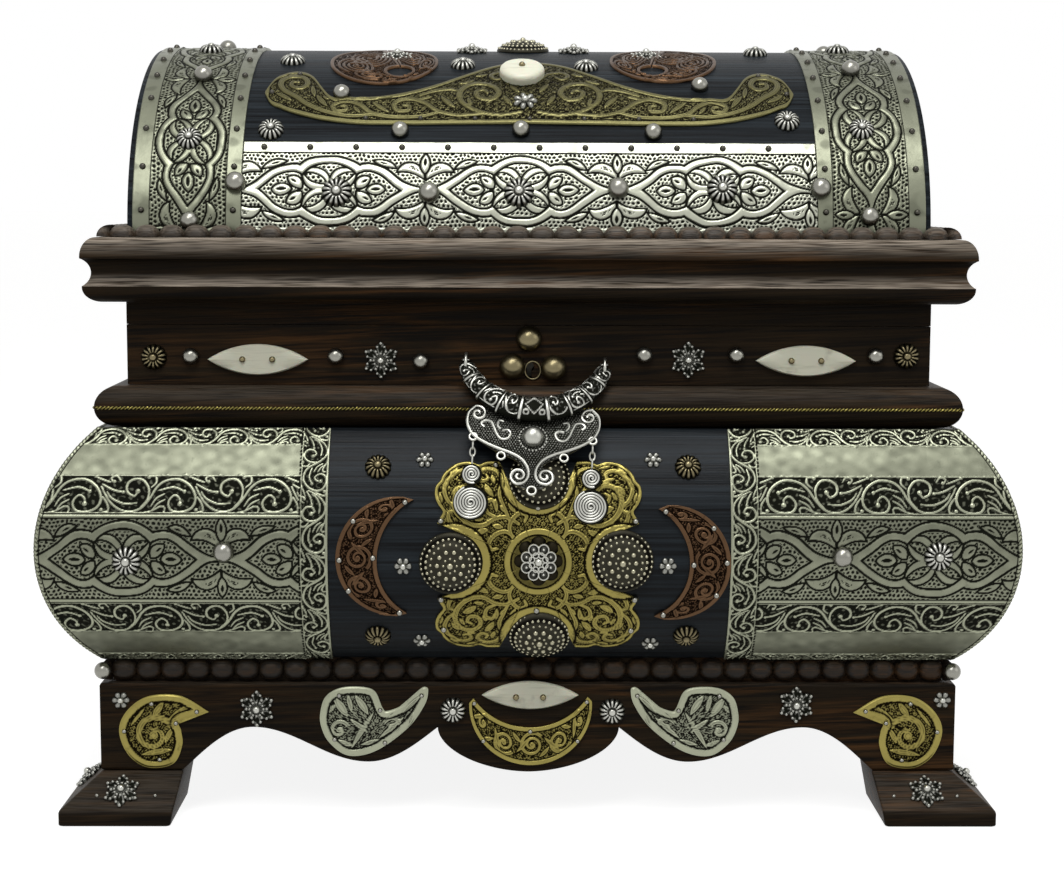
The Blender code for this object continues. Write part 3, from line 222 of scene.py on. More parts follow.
def medallion(u, v, half):
    """Beaten chain of lobed medallions: a smooth ribbon between two dark lines, four petals round a
    flower, tulips in the points, fans of leaves at the crossings and rows of pits on the ground.
    u runs along the band from a flower, v across it; gives the height and the dark share."""
    u, v = u + 0.45 * ripple(u, v, 21.0, 0.9), v + 0.35 * ripple(u, v, 17.0, 3.3)
    x = np.abs(np.mod(u + HALF_MEDALLION, 2 * HALF_MEDALLION) - HALF_MEDALLION)
    y = np.abs(v) * HALF_CHAIN / half
    n = HALF_MEDALLION - x
    outer_y, outer_slope = curve(x, RIBBON_OUTER)
    inner_y, inner_slope = curve(x, RIBBON_INNER)
    outer = np.minimum(np.hypot(x, y + 5.1) - 22.4, (y - outer_y) / np.hypot(1, outer_slope))
    inner = np.minimum(np.hypot(x, y + 3.2) - 16.6, (y - inner_y) / np.hypot(1, inner_slope))
    within, beyond = inner < 0, outer > 0.2
    petal = leaf(x, y, (0.3, 0.6), (12.8, 8.7), 6.2, 4.8)
    petal_eye = leaf(x, y, (1.4, 2.6), (12.2, 8.1), 2.1, 2.0)
    drop = leaf(x, y, (17.2, 0.01), (27.0, 0), 2.9, 2.9)
    lobe = leaf(x, y, (12.8, 0.6), (19.6, 6.2), 3.4, 2.0)
    blade = leaf(n, y, (0.01, 8.0), (0, 18.2), 2.4, 2.4)
    horn = leaf(n, y, (0.4, 5.0), (13.8, 8.6), 6.9, -1.4)
    side = leaf(x, y, (20.2, 14.4), (31.2, 10.3), 2.6, 1.0)
    ink = np.maximum(line(outer, 1.1), line(inner, 1.1))
    solid = np.full(u.shape, -9.0)
    lift = 0.4 * smooth(0.2, 1.4, np.minimum(-outer, inner))
    for d, where in ((petal, within), (drop, within), (lobe, within & (drop > 0.3)), (blade, beyond),
                     (horn, beyond & (blade > 0.3)), (side, beyond & (horn > 0.2))):
        ink = np.maximum(ink, line(d, 1.0) * where)
        solid = np.maximum(solid, -d)
        lift = np.maximum(lift, 0.5 * smooth(0, 1.8, -d))
    ink = np.maximum(ink, line(petal_eye, 0.9))
    ink = np.maximum(ink, line(horn + 2.3, 0.6) * (n < 7.5) * (np.mod(n * 1.1 - y * 0.5, 2.6) < 1.7))
    ground = (solid < -0.7) & ((outer > 0.9) | (inner < -0.9))
    ink = np.maximum(ink, dots(u, v, 2.15, 0.72) * (ground | (petal_eye < -0.6)))
    for across, start, end, sag in ((x, (19.4, 0.01), (24.8, 0), 0.85), (x, (15.4, 3.4), (18.2, 5.2), 0.6),
                                    (n, (0.01, 11.8), (0, 15.8), 0.8), (x, (23.2, 13.9), (27.2, 12.5), 0.5)):
        ink = np.maximum(ink, 1 - smooth(-0.2, 0.15, leaf(across, y, start, end, sag, sag)))
    return lift - 0.5 * ink, ink


def stem(x, y, points, width, period=0.0):
    """Signed distance to a vine stem through points, full in the middle and thin at its ends. With a
    period it comes again along x."""
    path = through(points, 4)
    half = width / 2 * (0.45 + 0.55 * np.sin(math.pi * np.linspace(0.12, 0.92, len(path))))
    reach = np.full(x.shape, 9.0)
    for (px, py), (dx, dy), r, grow in zip(path[:-1], np.diff(path, axis=0), half, np.diff(half)):
        a, b = x - px, y - py
        if period:
            a = a - period * np.round((a - dx / 2) / period)
        t = np.clip((a * dx + b * dy) / (dx * dx + dy * dy), 0, 1)
        reach = np.minimum(reach, np.hypot(a - t * dx, b - t * dy) - r - t * grow)
    return reach


# One wave of the beaten vine: width share and places, along in half waves and across from -1 to 1
VINE = (
    (1.1, ((0.50, -0.50), (0.51, -0.22), (0.63, -0.05), (0.75, -0.42), (0.67, -0.84), (0.44, -0.90),
           (0.24, -0.66), (0.17, -0.18), (0.28, 0.40), (0.54, 0.78), (0.83, 0.70), (1.02, 0.35),
           (1.17, -0.25), (1.35, -0.72), (1.57, -0.90), (1.80, -0.78), (1.98, -0.42), (2.10, 0.05),
           (2.17, 0.40))),
    (1.1, ((1.42, 0.15), (1.49, -0.10), (1.63, 0.10), (1.63, 0.52), (1.49, 0.78), (1.31, 0.74),
           (1.19, 0.30), (1.21, -0.25), (1.35, -0.66))),
    (0.9, ((0.41, 0.15), (0.65, 0.36), (0.96, 0.20))), (0.8, ((0.84, 0.02), (1.02, -0.22), (1.13, -0.62))),
    (0.8, ((0.83, -0.28), (0.98, -0.48), (1.08, -0.76))),
    (0.8, ((0.84, -0.94), (0.82, -0.72), (0.91, -0.62), (1.10, -0.84), (1.30, -0.95))),
    (0.9, ((1.70, 0.10), (1.91, 0.20), (2.15, 0.52))),
    (0.9, ((1.44, -0.45), (1.69, -0.50), (1.94, -0.24), (2.05, 0.12))),
    (0.8, ((1.92, 0.62), (1.96, 0.86), (1.84, 0.94), (1.76, 0.70))),
    (0.8, ((1.98, 0.62), (2.13, 0.74), (2.32, 0.94))),
    (0.9, ((1.15, 0.92), (1.04, 0.92), (1.03, 0.60), (1.13, 0.36))),
    (0.9, ((2.13, -0.15), (2.04, -0.50), (2.02, -0.85), (2.12, -0.90))))
VINE_DROPS = (
    (0.50, -0.50, 1.0), (1.42, 0.15, 1.0), (0.41, 0.14, 0.8), (1.18, 0.90, 0.8), (0.16, -0.80, 0.8),
    (1.72, 0.10, 0.7), (0.30, 0.92, 0.7), (1.90, 0.66, 0.7))


def scroll(u, v, high, step, weight, strokes=len(VINE)):
    """Beaten vine: a running stem that rolls into a spiral above and below by turns, with strokes and
    hooks between and drops at the ends. Gives the height and the dark share, bright lines on black."""
    u = u + 0.03 * step * ripple(u, v, 1.9 * step, 1.2)
    h, w = high / 2, weight * high
    reach = np.full(u.shape, 9.0)
    for share, points in VINE[:strokes]:
        reach = np.minimum(reach, stem(u, v, [(x * step, y * h) for x, y in points], 2 * w * share, 2 * step))
    for x, y, size in VINE_DROPS[:strokes]:
        along = u - x * step
        along = along - 2 * step * np.round(along / (2 * step))
        reach = np.minimum(reach, np.hypot(along, v - y * h) - 2 * w * size)
    bright = 1 - smooth(-0.14, 0.16, reach)
    edge = smooth(h - 0.70, h - 0.45, np.abs(v))
    ground = 0.36 * smooth(-0.2, 0.9, ripple(u, v, 0.16 * high, 5.5)) * smooth(0.2, 0.5, reach)
    lift = 1.3 * (1 - smooth(-1.2 * w, 0.2, reach))
    return np.maximum(lift, edge) - 0.5, (1 - np.maximum(bright, 0.8 * edge)) * (1 - ground)


def arabesque(x, y, scrolls, leaves, inside, stems=()):
    """Chased plaque: spiral ribbons, stems and leaves left bright, a ground of short bright worms on
    black and a plain rim where inside, the distance in from the edge, is small. Gives the height
    and the dark share."""
    reach = np.full(x.shape, 9.0)
    for cx, cy, radius, pitch, turn, hand, width in scrolls:
        d, deep = spiral(x, y, (cx, cy), radius, pitch, turn, hand)
        reach = np.minimum(reach, d - width / 2 * (1.1 - 0.6 * deep))
        reach = np.minimum(reach, np.hypot(x - cx, y - cy) - width * 0.75)
    for a, b, left, right in leaves:
        reach = np.minimum(reach, leaf(x, y, a, b, left, right))
    for points, width in stems:
        reach = np.minimum(reach, stem(x, y, points, width))
    bright = 1 - smooth(-0.12, 0.18, reach)
    worm = np.sin(3.3 * x + 1.9 * np.sin(1.8 * y + 0.7)) * np.sin(3.4 * y + 1.9 * np.sin(1.65 * x + 2.1))
    grain = smooth(-0.10, 0.20, worm + 0.25 * np.sin(4.3 * x - 3.1 * y)) * smooth(0.36, 0.56, reach)
    rim = 1 - smooth(1.9, 2.2, inside)
    dark = (1 - bright) * (1 - 0.7 * grain) * (1 - rim)
    dark = np.maximum(dark, 0.9 * line(inside - 2.5, 0.6))
    dark = np.maximum(dark, 0.6 * line(reach + 0.8, 0.26) * (reach < -0.3))
    return 0.8 * bright + 0.35 * grain * (1 - rim) + 0.5 * rim - 0.45 * dark, dark * smooth(0, 0.5, inside)


def on_side(side, along, out, z):
    """Places beside one side of the casket, out past the neck, in millimetres."""
    a, o, _, reach = SIDES[side]
    along, out, z = np.broadcast_arrays(np.asarray(along, float), out, z)
    flat = along[..., None] * np.array(a, float) + (reach + out)[..., None] * np.array(o, float)
    flat[..., 2] = z
    return flat


def on_belly(side):
    """Rule that bends (along, up the curve, out) round the belly of one side."""
    return lambda x, s, n: on_side(side, x, BELLY_AXIS + (BELLY_R + n) * np.cos(s / BELLY_R),
                                   BELLY_MID + (BELLY_R + n) * np.sin(s / BELLY_R))


def on_dome(x, s, n):
    """Bends (along, up the curve from the front foot, out) over the dome."""
    t = np.interp(s, DOME_ARC, DOME_TURN)
    ny, nz = -np.cos(t) / DOME_A, np.sin(t) / DOME_B
    size = np.hypot(ny, nz)
    y, z = -DOME_A * np.cos(t) + n * ny / size, DOME_Z0 + DOME_B * np.sin(t) + n * nz / size
    return np.stack(np.broadcast_arrays(np.asarray(x, float), y, z), -1)


def on_front(out):
    """Rule for a flat front that stands out past the neck: (across, height, out)."""
    return lambda x, z, n: on_side("front", x, out + n, z)


def above(rule, lift):
    """The same rule from that much higher off the surface."""
    return lambda x, s, n: rule(x, s, n + lift)


def setting(key):
    """One of the user's sizes in millimetres."""
    return getattr(bpy.context.scene.casket_sizes, key) * 1000


def grid(points, wrap=(False, False), poles=(False, False), caps=False, patina=0.0):
    """Faces between the neighbours on grids of points, rows by columns, one grid or a stack of them.
    wrap closes rows or columns, poles draw an end row to one point, caps close the end columns, and
    patina is the dark share at each point: black patina in the hollows, and painted
    shade and reflection where a piece sets them."""
    points = np.asarray(points, float)
    if points.ndim == 3:
        points = points[None]
    count, rows, cols = points.shape[:3]
    number = np.arange(rows * cols).reshape(rows, cols)
    keep = np.ones((rows, cols), bool)
    for row, pole in ((0, poles[0]), (-1, poles[1])):
        if pole:
            number[row] = number[row, 0]
            keep[row, 1:] = False
    number = (np.cumsum(keep) - 1)[number]
    ends = [number[:, 0], number[::-1, -1]] if caps else []
    if wrap[0]:
        number = np.concatenate([number, number[:1]])
    if wrap[1]:
        number = np.concatenate([number, number[:, :1]], 1)
    quads = np.stack([number[:-1, :-1], number[:-1, 1:], number[1:, 1:], number[1:, :-1]], -1).reshape(-1, 4)
    low, high = quads[:, 0] == quads[:, 1], quads[:, 2] == quads[:, 3]
    tris = np.concatenate([quads[low][:, [0, 2, 3]], quads[high][:, [0, 1, 2]]])
    quads = quads[~(low | high)]
    keep = keep.ravel()
    shift = (np.arange(count) * keep.sum())[:, None, None]
    return {"points": points.reshape(count, -1, 3)[:, keep].reshape(-1, 3),
            "quads": (quads + shift).reshape(-1, 4), "tris": (tris + shift).reshape(-1, 3),
            "ends": [end + k for k in shift.ravel() for end in ends],
            "patina": np.broadcast_to(patina, (count, rows, cols)).reshape(count, -1)[:, keep].ravel()}


def make(name, patches, look, body, replaces="", sharp=50):
    """One piece from its grids: a mesh in metres with its finish, riding on a body of the frame. Edges
    sharper than an angle in degrees stay crisp, or none where it is 0."""
    slot, finish = finished(look)
    counts = np.cumsum([0] + [len(p["points"]) for p in patches])
    quads = np.concatenate([p["quads"] + k for p, k in zip(patches, counts)])
    tris = np.concatenate([p["tris"] + k for p, k in zip(patches, counts)])
    ends = [end + k for p, k in zip(patches, counts) for end in p["ends"]]
    corners = np.concatenate([quads.ravel(), tris.ravel()] + ends).astype(np.int32)
    sizes = np.concatenate([np.full(len(quads), 4), np.full(len(tris), 3), [len(e) for e in ends]])
    mesh = bpy.data.meshes.new(name)
    mesh.vertices.add(int(counts[-1]))
    mesh.vertices.foreach_set("co", np.concatenate([p["points"] for p in patches]).ravel() / 1000)
    mesh.loops.add(len(corners))
    mesh.loops.foreach_set("vertex_index", corners)
    mesh.polygons.add(len(sizes))
    mesh.polygons.foreach_set("loop_start", (np.cumsum(sizes) - sizes).astype(np.int32))
    dark = np.concatenate([p["patina"] for p in patches]).astype(np.float32)
    mesh.attributes.new("patina", "FLOAT", "POINT").data.foreach_set("value", dark)
    mesh.update(calc_edges=True)
    mesh.validate()
    mesh.shade_smooth()
    if sharp:
        mesh.set_sharp_from_angle(angle=math.radians(sharp))
    mesh.materials.append(finish)
    item = bpy.data.objects.new(name, mesh)
    bpy.context.scene.collection.objects.link(item)
    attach(item, body)
    if replaces:
        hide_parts(replaces)


def show(look, *nodes):
    """Gives a finish to nodes of the frame that stay in sight as they are."""
    for node in nodes:
        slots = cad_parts[node].data.materials
        slots.clear()
        slots.append(finished(look)[1])


def run(side, profile):
    """Closed profile of (out, height) carried along a side to its mitred ends."""
    out, z = np.array(profile, float).T[:, :, None]
    reach = SIDES[side][2] + out
    return grid(on_side(side, np.array([-1, 1]) * reach, out, z), wrap=(True, False), caps=True)


def arc(centre, radius, start, end, steps, tall=1.0):
    """Points on an ellipse about a centre between two angles in degrees."""
    a = np.radians(np.linspace(start, end, steps))
    return [(centre[0] + radius * c, centre[1] + radius * tall * s) for c, s in zip(np.cos(a), np.sin(a))]


def bowed(start, end, sag, steps):
    """Points from start to end along an arc that stands off to the left by the sag."""
    (x0, y0), (x1, y1) = start, end
    half = math.hypot(x1 - x0, y1 - y0) / 2
    r = (half * half + sag * sag) / (2 * sag)
    t = np.linspace(-1, 1, steps) * 2 * math.atan(sag / half)
    p, q = r * np.sin(t), r * np.cos(t) - (r - sag)
    dx, dy = (x1 - x0) / (2 * half), (y1 - y0) / (2 * half)
    return [((x0 + x1) / 2 + a * dx - b * dy, (y0 + y1) / 2 + a * dy + b * dx) for a, b in zip(p, q)]


def sheet(rule, x, s, height, dark):
    """Thin beaten metal on a surface: the grid lifted by its height, its edges folded down."""
    x, s, dark = (np.pad(a, 1, mode="edge") for a in np.broadcast_arrays(x, s, dark))
    n = np.pad(height, 1)
    return grid(rule(x, s, n), patina=dark)


def tube(path, radius, sides, facing, closed=False):
    """Round wire along a path; facing is a direction that the path never runs along."""
    path = np.asarray(path, float)
    way = np.roll(path, -1, 0) - np.roll(path, 1, 0)
    if not closed:
        way[0], way[-1] = path[1] - path[0], path[-1] - path[-2]
    way /= np.linalg.norm(way, axis=1, keepdims=True)
    across = np.cross(np.array(facing, float), way)
    across /= np.linalg.norm(across, axis=1, keepdims=True)
    up = np.cross(way, across)
    a = turns(sides)[:, None, None]
    return grid(path + radius * (np.cos(a) * across - np.sin(a) * up), wrap=(True, closed), caps=not closed)


def turned(profile, columns):
    """Round head: a profile of (radius, height) from rim to middle, turned about the axis. Gives its
    grid, and the share of the rim's radius at each row."""
    r, h = np.array([(0, profile[0][1])] + list(profile), float).T[:, :, None]
    a = turns(columns)
    return np.stack([r * np.cos(a), r * np.sin(a), h + 0 * a], -1), r / r.max()


def put(shape, spots, rule, turn=0.0, patina=0.0):
    """Copies of a round head set on a surface at (x, s) spots, square to it."""
    spots = np.array(spots, float).reshape(-1, 2)
    x, s = spots.T
    zero = np.zeros_like(x)
    base = rule(x, s, zero)
    up = rule(x, s, zero + 1) - base
    side = rule(x + 0.5, s, zero) - rule(x - 0.5, s, zero)
    up /= np.linalg.norm(up, axis=1, keepdims=True)
    side /= np.linalg.norm(side, axis=1, keepdims=True)
    third = np.cross(up, side)
    c, q = math.cos(turn), math.sin(turn)
    u = shape[..., 0] * c - shape[..., 1] * q
    v = shape[..., 0] * q + shape[..., 1] * c
    points = (base[:, None, None] + u[None, ..., None] * side[:, None, None]
              + v[None, ..., None] * third[:, None, None] + shape[None, ..., 2:3] * up[:, None, None])
    return grid(points, wrap=(False, True), poles=(True, True), patina=patina)


def add(tree, kind, links=None, out=0, **settings):
    """One shader node with its settings; links gives each input a value or another node's output. Gives
    the output of that name or number."""
    item = tree.nodes.new("ShaderNode" + kind)
    for name, value in settings.items():
        setattr(item, name, value)
    for name, value in (links or {}).items():
        if isinstance(value, bpy.types.NodeSocket):
            tree.links.new(value, item.inputs[name])
        else:
            item.inputs[name].default_value = value
    return item.outputs[out] if item.outputs else None


def nodes_of(owner):
    """Empties the node tree of a material or a world and gives the function that adds nodes to it."""
    owner.use_nodes = True
    owner.node_tree.nodes.clear()
    return partial(add, owner.node_tree)


def tint(text):
    """Linear colour of an sRGB hex value, or the user's colour of that name."""
    return linear(text) if text.startswith("#") else getattr(bpy.context.scene.casket_colours, text)


def stained_pine(name, turn, shine=0.05, dusty=0.95):
    """Pine under a dark red stain: long grain a few millimetres wide along the board, red where the
    stain is thin, satin with a fine open grain, and grey with dust, wear and painted top light where it faces
    up."""
    node = nodes_of(bpy.data.materials.new(name))
    spot = node("TexCoord", out="Object")
    place = node("Mapping", {"Vector": spot, "Rotation": (0.04, 0.03, turn + 0.02)})
    # Grain 2 mm wide and 80 mm long; flame 9 mm wide and 140 mm long; pores 0.7 mm wide
    streaks = []
    for stretch, detail, rough, bend in (((12, 480, 480), 4.0, 0.6, 0.5), ((7, 105, 115), 5.0, 0.65, 1.1),
                                         ((25, 1400, 1400), 2.0, 0.5, 0.0)):
        spread = node("Mapping", {"Vector": place, "Scale": stretch})
        streaks.append(node("TexNoise", {"Vector": spread, "Scale": 1.0, "Detail": detail, "Roughness": rough,
                                         "Distortion": bend}))
    grain, flame, pores = streaks
    patch = node("TexNoise", {"Vector": place, "Scale": 8.0, "Detail": 2.0})
    ring = node("MapRange", {0: grain, 1: 0.38, 2: 0.64})
    share = node("MapRange", {0: flame, 1: 0.47, 2: 0.70})
    for part in (node("MapRange", {0: patch, 1: 0.36, 2: 0.68}), ring):
        share = node("Math", {0: share, 1: part}, operation="MULTIPLY")
    dark = node("Mix", {0: ring, 6: tint("#120e0a"), 7: tint("wood")}, 2, data_type="RGBA")
    tone = node("Mix", {0: share, 6: dark, 7: tint("streak")}, 2, data_type="RGBA")
    # Dust and painted top light on what faces up in the piece's own frame, in lines between pores;
    # most above the neck and faint lower down, which paints shade under the overhang of the lid
    up = node("SeparateXYZ", {0: node("TexCoord", out="Normal")}, 2)
    dust = node("MapRange", {0: up, 1: 0.02, 2: 0.80, 4: dusty})
    tall = node("SeparateXYZ", {0: spot}, 2)
    for part in (node("MapRange", {0: tall, 1: 0.21, 2: 0.26, 3: 0.10}),
                 node("MapRange", {0: pores, 1: 0.30, 2: 0.62})):
        dust = node("Math", {0: dust, 1: part}, operation="MULTIPLY")
    tone = node("Mix", {0: dust, 6: tone, 7: tint("dust")}, 2, data_type="RGBA")
    gloss = node("MapRange", {0: grain, 3: 0.36, 4: 0.56})
    both = node("Math", {0: grain, 1: pores}, operation="ADD")
    bump = node("Bump", {"Height": both, "Strength": 0.35, "Distance": 0.0006})
    shader = node("BsdfPrincipled", {"Base Color": tone, "Roughness": gloss, "Normal": bump,
                                     "Specular IOR Level": shine})
    node("OutputMaterial", {"Surface": shader})


def black_paint(name, turn, shine=0.10):
    """Black paint brushed along the board: a blue-black film with fine brush lines about 1 mm apart
    and a soft gloss that breaks up along them."""
    node = nodes_of(bpy.data.materials.new(name))
    place = node("Mapping", {"Vector": node("TexCoord", out="Object"), "Rotation": (0, 0, turn)})
    strokes = node("Mapping", {"Vector": place, "Scale": (8, 520, 520)})
    brush = node("TexNoise", {"Vector": strokes, "Scale": 1.0, "Detail": 4.0, "Roughness": 0.65})
    wide = node("Mapping", {"Vector": place, "Scale": (9, 120, 120)})
    cloud = node("TexNoise", {"Vector": wide, "Scale": 1.0, "Detail": 4.0})
    streak = node("MapRange", {0: brush, 1: 0.36, 2: 0.66})
    both = node("Math", {0: streak, 1: cloud}, operation="MULTIPLY")
    tone = node("Mix", {0: both, 6: tint("#08090b"), 7: tint("paint")}, 2, data_type="RGBA")
    gloss = node("MapRange", {0: brush, 3: 0.26, 4: 0.52})
    bump = node("Bump", {"Height": brush, "Strength": 0.55, "Distance": 0.0005})
    shader = node("BsdfPrincipled", {"Base Color": tone, "Roughness": gloss, "Normal": bump,
                                     "Specular IOR Level": shine})
    node("OutputMaterial", {"Surface": shader})


def worn_metal(name, bright, patina, low, high, dents, wear=1.0):
    """Beaten metal with black patina: the piece's own patina attribute darkens its hollows
    and paints shade where a piece sets it, a cloud about 15 mm wide dulls it between two roughnesses,
    and shallow dents break its reflections."""
    node = nodes_of(bpy.data.materials.new(name))
    place = node("TexCoord", out="Object")
    hollow = node("MapRange", {0: node("Attribute", out="Fac", attribute_name="patina"), 2: 0.84})
    cloud = node("TexNoise", {"Vector": place, "Scale": 65.0, "Detail": 5.0, "Roughness": 0.6})
    speck = node("TexNoise", {"Vector": place, "Scale": 420.0, "Detail": 3.0})
    dull = node("MapRange", {0: cloud, 1: 0.35, 2: 0.75, 3: 1.0, 4: 1 - 0.22 * wear})
    spot = node("MapRange", {0: speck, 1: 0.62, 2: 0.78, 3: 1.0, 4: 1 - 0.40 * wear})
    dull = node("Math", {0: dull, 1: spot}, operation="MULTIPLY")
    shade = node("Mix", {0: dull, 6: tint(patina), 7: tint(bright)}, 2, data_type="RGBA")
    tone = node("Mix", {0: hollow, 6: shade, 7: tint(patina)}, 2, data_type="RGBA")
    gloss = node("MapRange", {0: cloud, 1: 0.3, 2: 0.7, 3: low, 4: high})
    matt = node("MapRange", {0: hollow, 1: 0.45, 2: 1.0, 4: 0.35})
    gloss = node("Math", {0: matt, 1: gloss}, operation="ADD")
    soft = node("TexNoise", {"Vector": place, "Scale": 150.0, "Detail": 2.0})
    bump = node("Bump", {"Height": soft, "Strength": dents, "Distance": 0.0012})
    shader = node("BsdfPrincipled", {"Base Color": tone, "Roughness": gloss, "Normal": bump, "Metallic": 1.0})
    node("OutputMaterial", {"Surface": shader})


def cut_bone(name):
    """Sawn and polished bone: warm white with faint grey grain about 1.5 mm wide, brown stains and a
    little light under the surface."""
    node = nodes_of(bpy.data.materials.new(name))
    place = node("TexCoord", out="Object")
    long = node("Mapping", {"Vector": place, "Scale": (60, 650, 650)})
    grain = node("TexNoise", {"Vector": long, "Scale": 1.0, "Detail": 4.0, "Distortion": 0.6})
    stain = node("TexNoise", {"Vector": place, "Scale": 110.0, "Detail": 4.0})
    share = node("MapRange", {0: grain, 1: 0.55, 2: 0.8, 4: 0.5})
    dirt = node("MapRange", {0: stain, 1: 0.62, 2: 0.8, 4: 0.45})
    tone = node("Mix", {0: share, 6: tint("bone"), 7: tint("#a9a68a")}, 2, data_type="RGBA")
    tone = node("Mix", {0: dirt, 6: tone, 7: tint("#6d6246")}, 2, data_type="RGBA")
    shader = node("BsdfPrincipled", {"Base Color": tone, "Roughness": 0.36, "Subsurface Weight": 0.12,
                                     "Subsurface Scale": 0.002})
    node("OutputMaterial", {"Surface": shader})


FINISHES = {
    # Library slot, maker, turn of the grain, shine and, for wood, the share of dust and painted top light
    "stained pine along X": ("stained_wood", stained_pine, 0.0),
    "stained pine along Y": ("stained_wood", stained_pine, math.pi / 2),
    "polished pine beads": ("stained_wood", stained_pine, 0.0, 0.20, 0.36),
    "black paint along X": ("black_painted_wood", black_paint, 0.0),
    "black paint along Y": ("black_painted_wood", black_paint, math.pi / 2),
    "matt black paint": ("black_painted_wood", black_paint, 0.0, 0.04),
    # Library slot, maker, bright colour, dark colour of patina and painted shade, least and greatest
    # roughness, dents and wear
    "white metal sheet": ("white_metal", worn_metal, "white_metal", "patina", 0.26, 0.40, 0.18, 0.8),
    # The same sheet darker, part tarnish and part painted shade, for the belly, the dome's end arches and the
    # paisleys
    "tarnished metal sheet": ("white_metal", worn_metal, "grey_metal", "patina", 0.32, 0.42, 0.10, 0.55),
    "old silver": ("old_silver", worn_metal, "silver", "patina", 0.26, 0.38, 0.04, 0.4),
    "chased brass": ("brass", worn_metal, "brass", "#120f07", 0.26, 0.40, 0.12),
    "dark brass": ("brass", worn_metal, "dark_brass", "#0e0c08", 0.24, 0.38, 0.04, 0.4),
    "chased copper": ("copper", worn_metal, "copper", "#140c08", 0.30, 0.45, 0.12),
    "nickel nail": ("white_metal", worn_metal, "#8c8b83", "#1c1b19", 0.22, 0.32, 0.02, 0.1),
    "gunmetal": ("brass", worn_metal, "gunmetal", "#100f0c", 0.22, 0.34, 0.02, 0.3),
    "dull brass": ("brass", worn_metal, "dull_brass", "#12100a", 0.28, 0.42, 0.12),
    "black iron": ("iron", worn_metal, "#4a4842", "#141312", 0.26, 0.40, 0.04),
    "cut bone": ("bone", cut_bone),
}


def finished(look):
    """Library slot and material of a finish; the materials are made at the first call."""
    if look not in bpy.data.materials:
        for name, (_, maker, *values) in FINISHES.items():
            maker(name, *values)
    return FINISHES[look][0], bpy.data.materials[look]


def lengthwise(side):
    """Which way the grain of a side's boards runs, in the words of the finishes."""
    return "along X" if side in ("front", "back") else "along Y"


class CASKET_OT_base(bpy.types.Operator):
    """Feet, scalloped aprons and the bead strip under the belly"""
    bl_idname = "casket.base"
    bl_label = "Base"

    def execute(self, context):
        for side in SIDES:
            make("apron_board_" + side, [apron(side)], "stained pine " + lengthwise(side), "case",
                 "apron_" + side, 40)
        for end, sx in ENDS:
            for place, sy in (("front", -1), ("back", 1)):
                make(f"foot_block_{place}_{end}", [foot(sx, sy)], "stained pine along X", "case",
                     f"foot_{place}_{end}", 40)
        make("base_beads", [bead_run(side, 8.1, 70.35, -90) for side in SIDES], "polished pine beads", "case",
             "base_bead_strip")
        show("stained pine along X", "bottom_board")
        return {"FINISHED"}


# Lower edge of the aprons: the arch beside a leg, the drop beside it and the notch in the middle
ARCH_WIDE, ARCH_RISE, DROP_WIDE, DROP_Z = 33.2, 20.7, 54.5, 26.2
NOTCH, NOTCH_DEEP, NOTCH_CURVE = 43.0, 21.6, 1.85


def apron(side):
    """Scalloped board: its lower edge is a height for each place along it (legs, sine arches, cosine
    drops and a superellipse in the middle), and rows go round the board from edge to edge."""
    half = SIDES[side][2]
    leg = half + APRON_OUT - LEG
    arch, drop, top = leg - ARCH_WIDE, leg - ARCH_WIDE - DROP_WIDE, APRON_Z0 + ARCH_RISE
    x = np.unique(np.concatenate([np.linspace(-half - APRON_OUT, half + APRON_OUT, 281),
                                  np.linspace(-leg, leg, 261), np.linspace(-NOTCH, NOTCH, 121)]))
    m = np.abs(x)
    rise = ARCH_RISE * np.sin(math.pi / 2 * np.clip((leg - m) / ARCH_WIDE, 0, 1))
    edge = np.where(m < leg, APRON_Z0 + rise, APRON_Z0)
    if drop > NOTCH:
        wave = np.cos(math.pi * (arch - m) / DROP_WIDE)
        edge = np.where(m < arch, (top + DROP_Z) / 2 + (top - DROP_Z) / 2 * wave, edge)
        wave = np.cos(math.pi / 2 * (drop - m) / (drop - NOTCH))
        edge = np.where(m < drop, DROP_Z + (top - DROP_Z) * (1 - wave), edge)
    else:
        edge = np.where(m < arch, top, edge)
    sag = (1 - np.clip(m / NOTCH, 0, 1) ** NOTCH_CURVE) ** (1 / NOTCH_CURVE)
    edge = np.where(m < NOTCH, top - NOTCH_DEEP * sag, edge)
    # Rows round the section: out, whether at the top edge, and up
    rows = ((-0.5, 0, 0.0), (12.2, 0, 0.0), (12.9, 0, 0.2), (13.3, 0, 0.6), (13.5, 0, 1.3), (13.5, 0, 1.8),
            (13.5, 1, -1.5), (13.5, 1, -1.0), (13.2, 1, -0.3), (12.5, 1, 0.0), (-0.5, 1, 0.0))
    out, high, lift = np.array(rows, float).T[:, :, None]
    z = np.where(high > 0, APRON_Z1, edge) + lift
    along = np.where(m > leg, np.sign(x) * (leg + (m - leg) / LEG * (half + out - leg)), x + 0 * out)
    return grid(on_side(side, along, out, z), wrap=(True, False), caps=True)


def ring_outline(x0, x1, y0, y1, radius):
    """Rectangle with round corners, anticlockwise, as points."""
    points = []
    for x, y, start in ((x1, y1, 0), (x0, y1, 90), (x0, y0, 180), (x1, y0, 270)):
        centre = (x - radius if x == x1 else x + radius, y - radius if y == y1 else y + radius)
        points += arc(centre, radius, start, start + 90, 5)
    return np.array(points)


# Height of the feet and lean of their inner faces; how far the toes stand out, where their slope starts
# and its rise and run
FOOT_Z1, FOOT_LEAN = 22.0, 3.8
TOE_OUT, TOE_Z, TOE_RISE, TOE_RUN = 17.2, 7.0, 0.657, 0.754


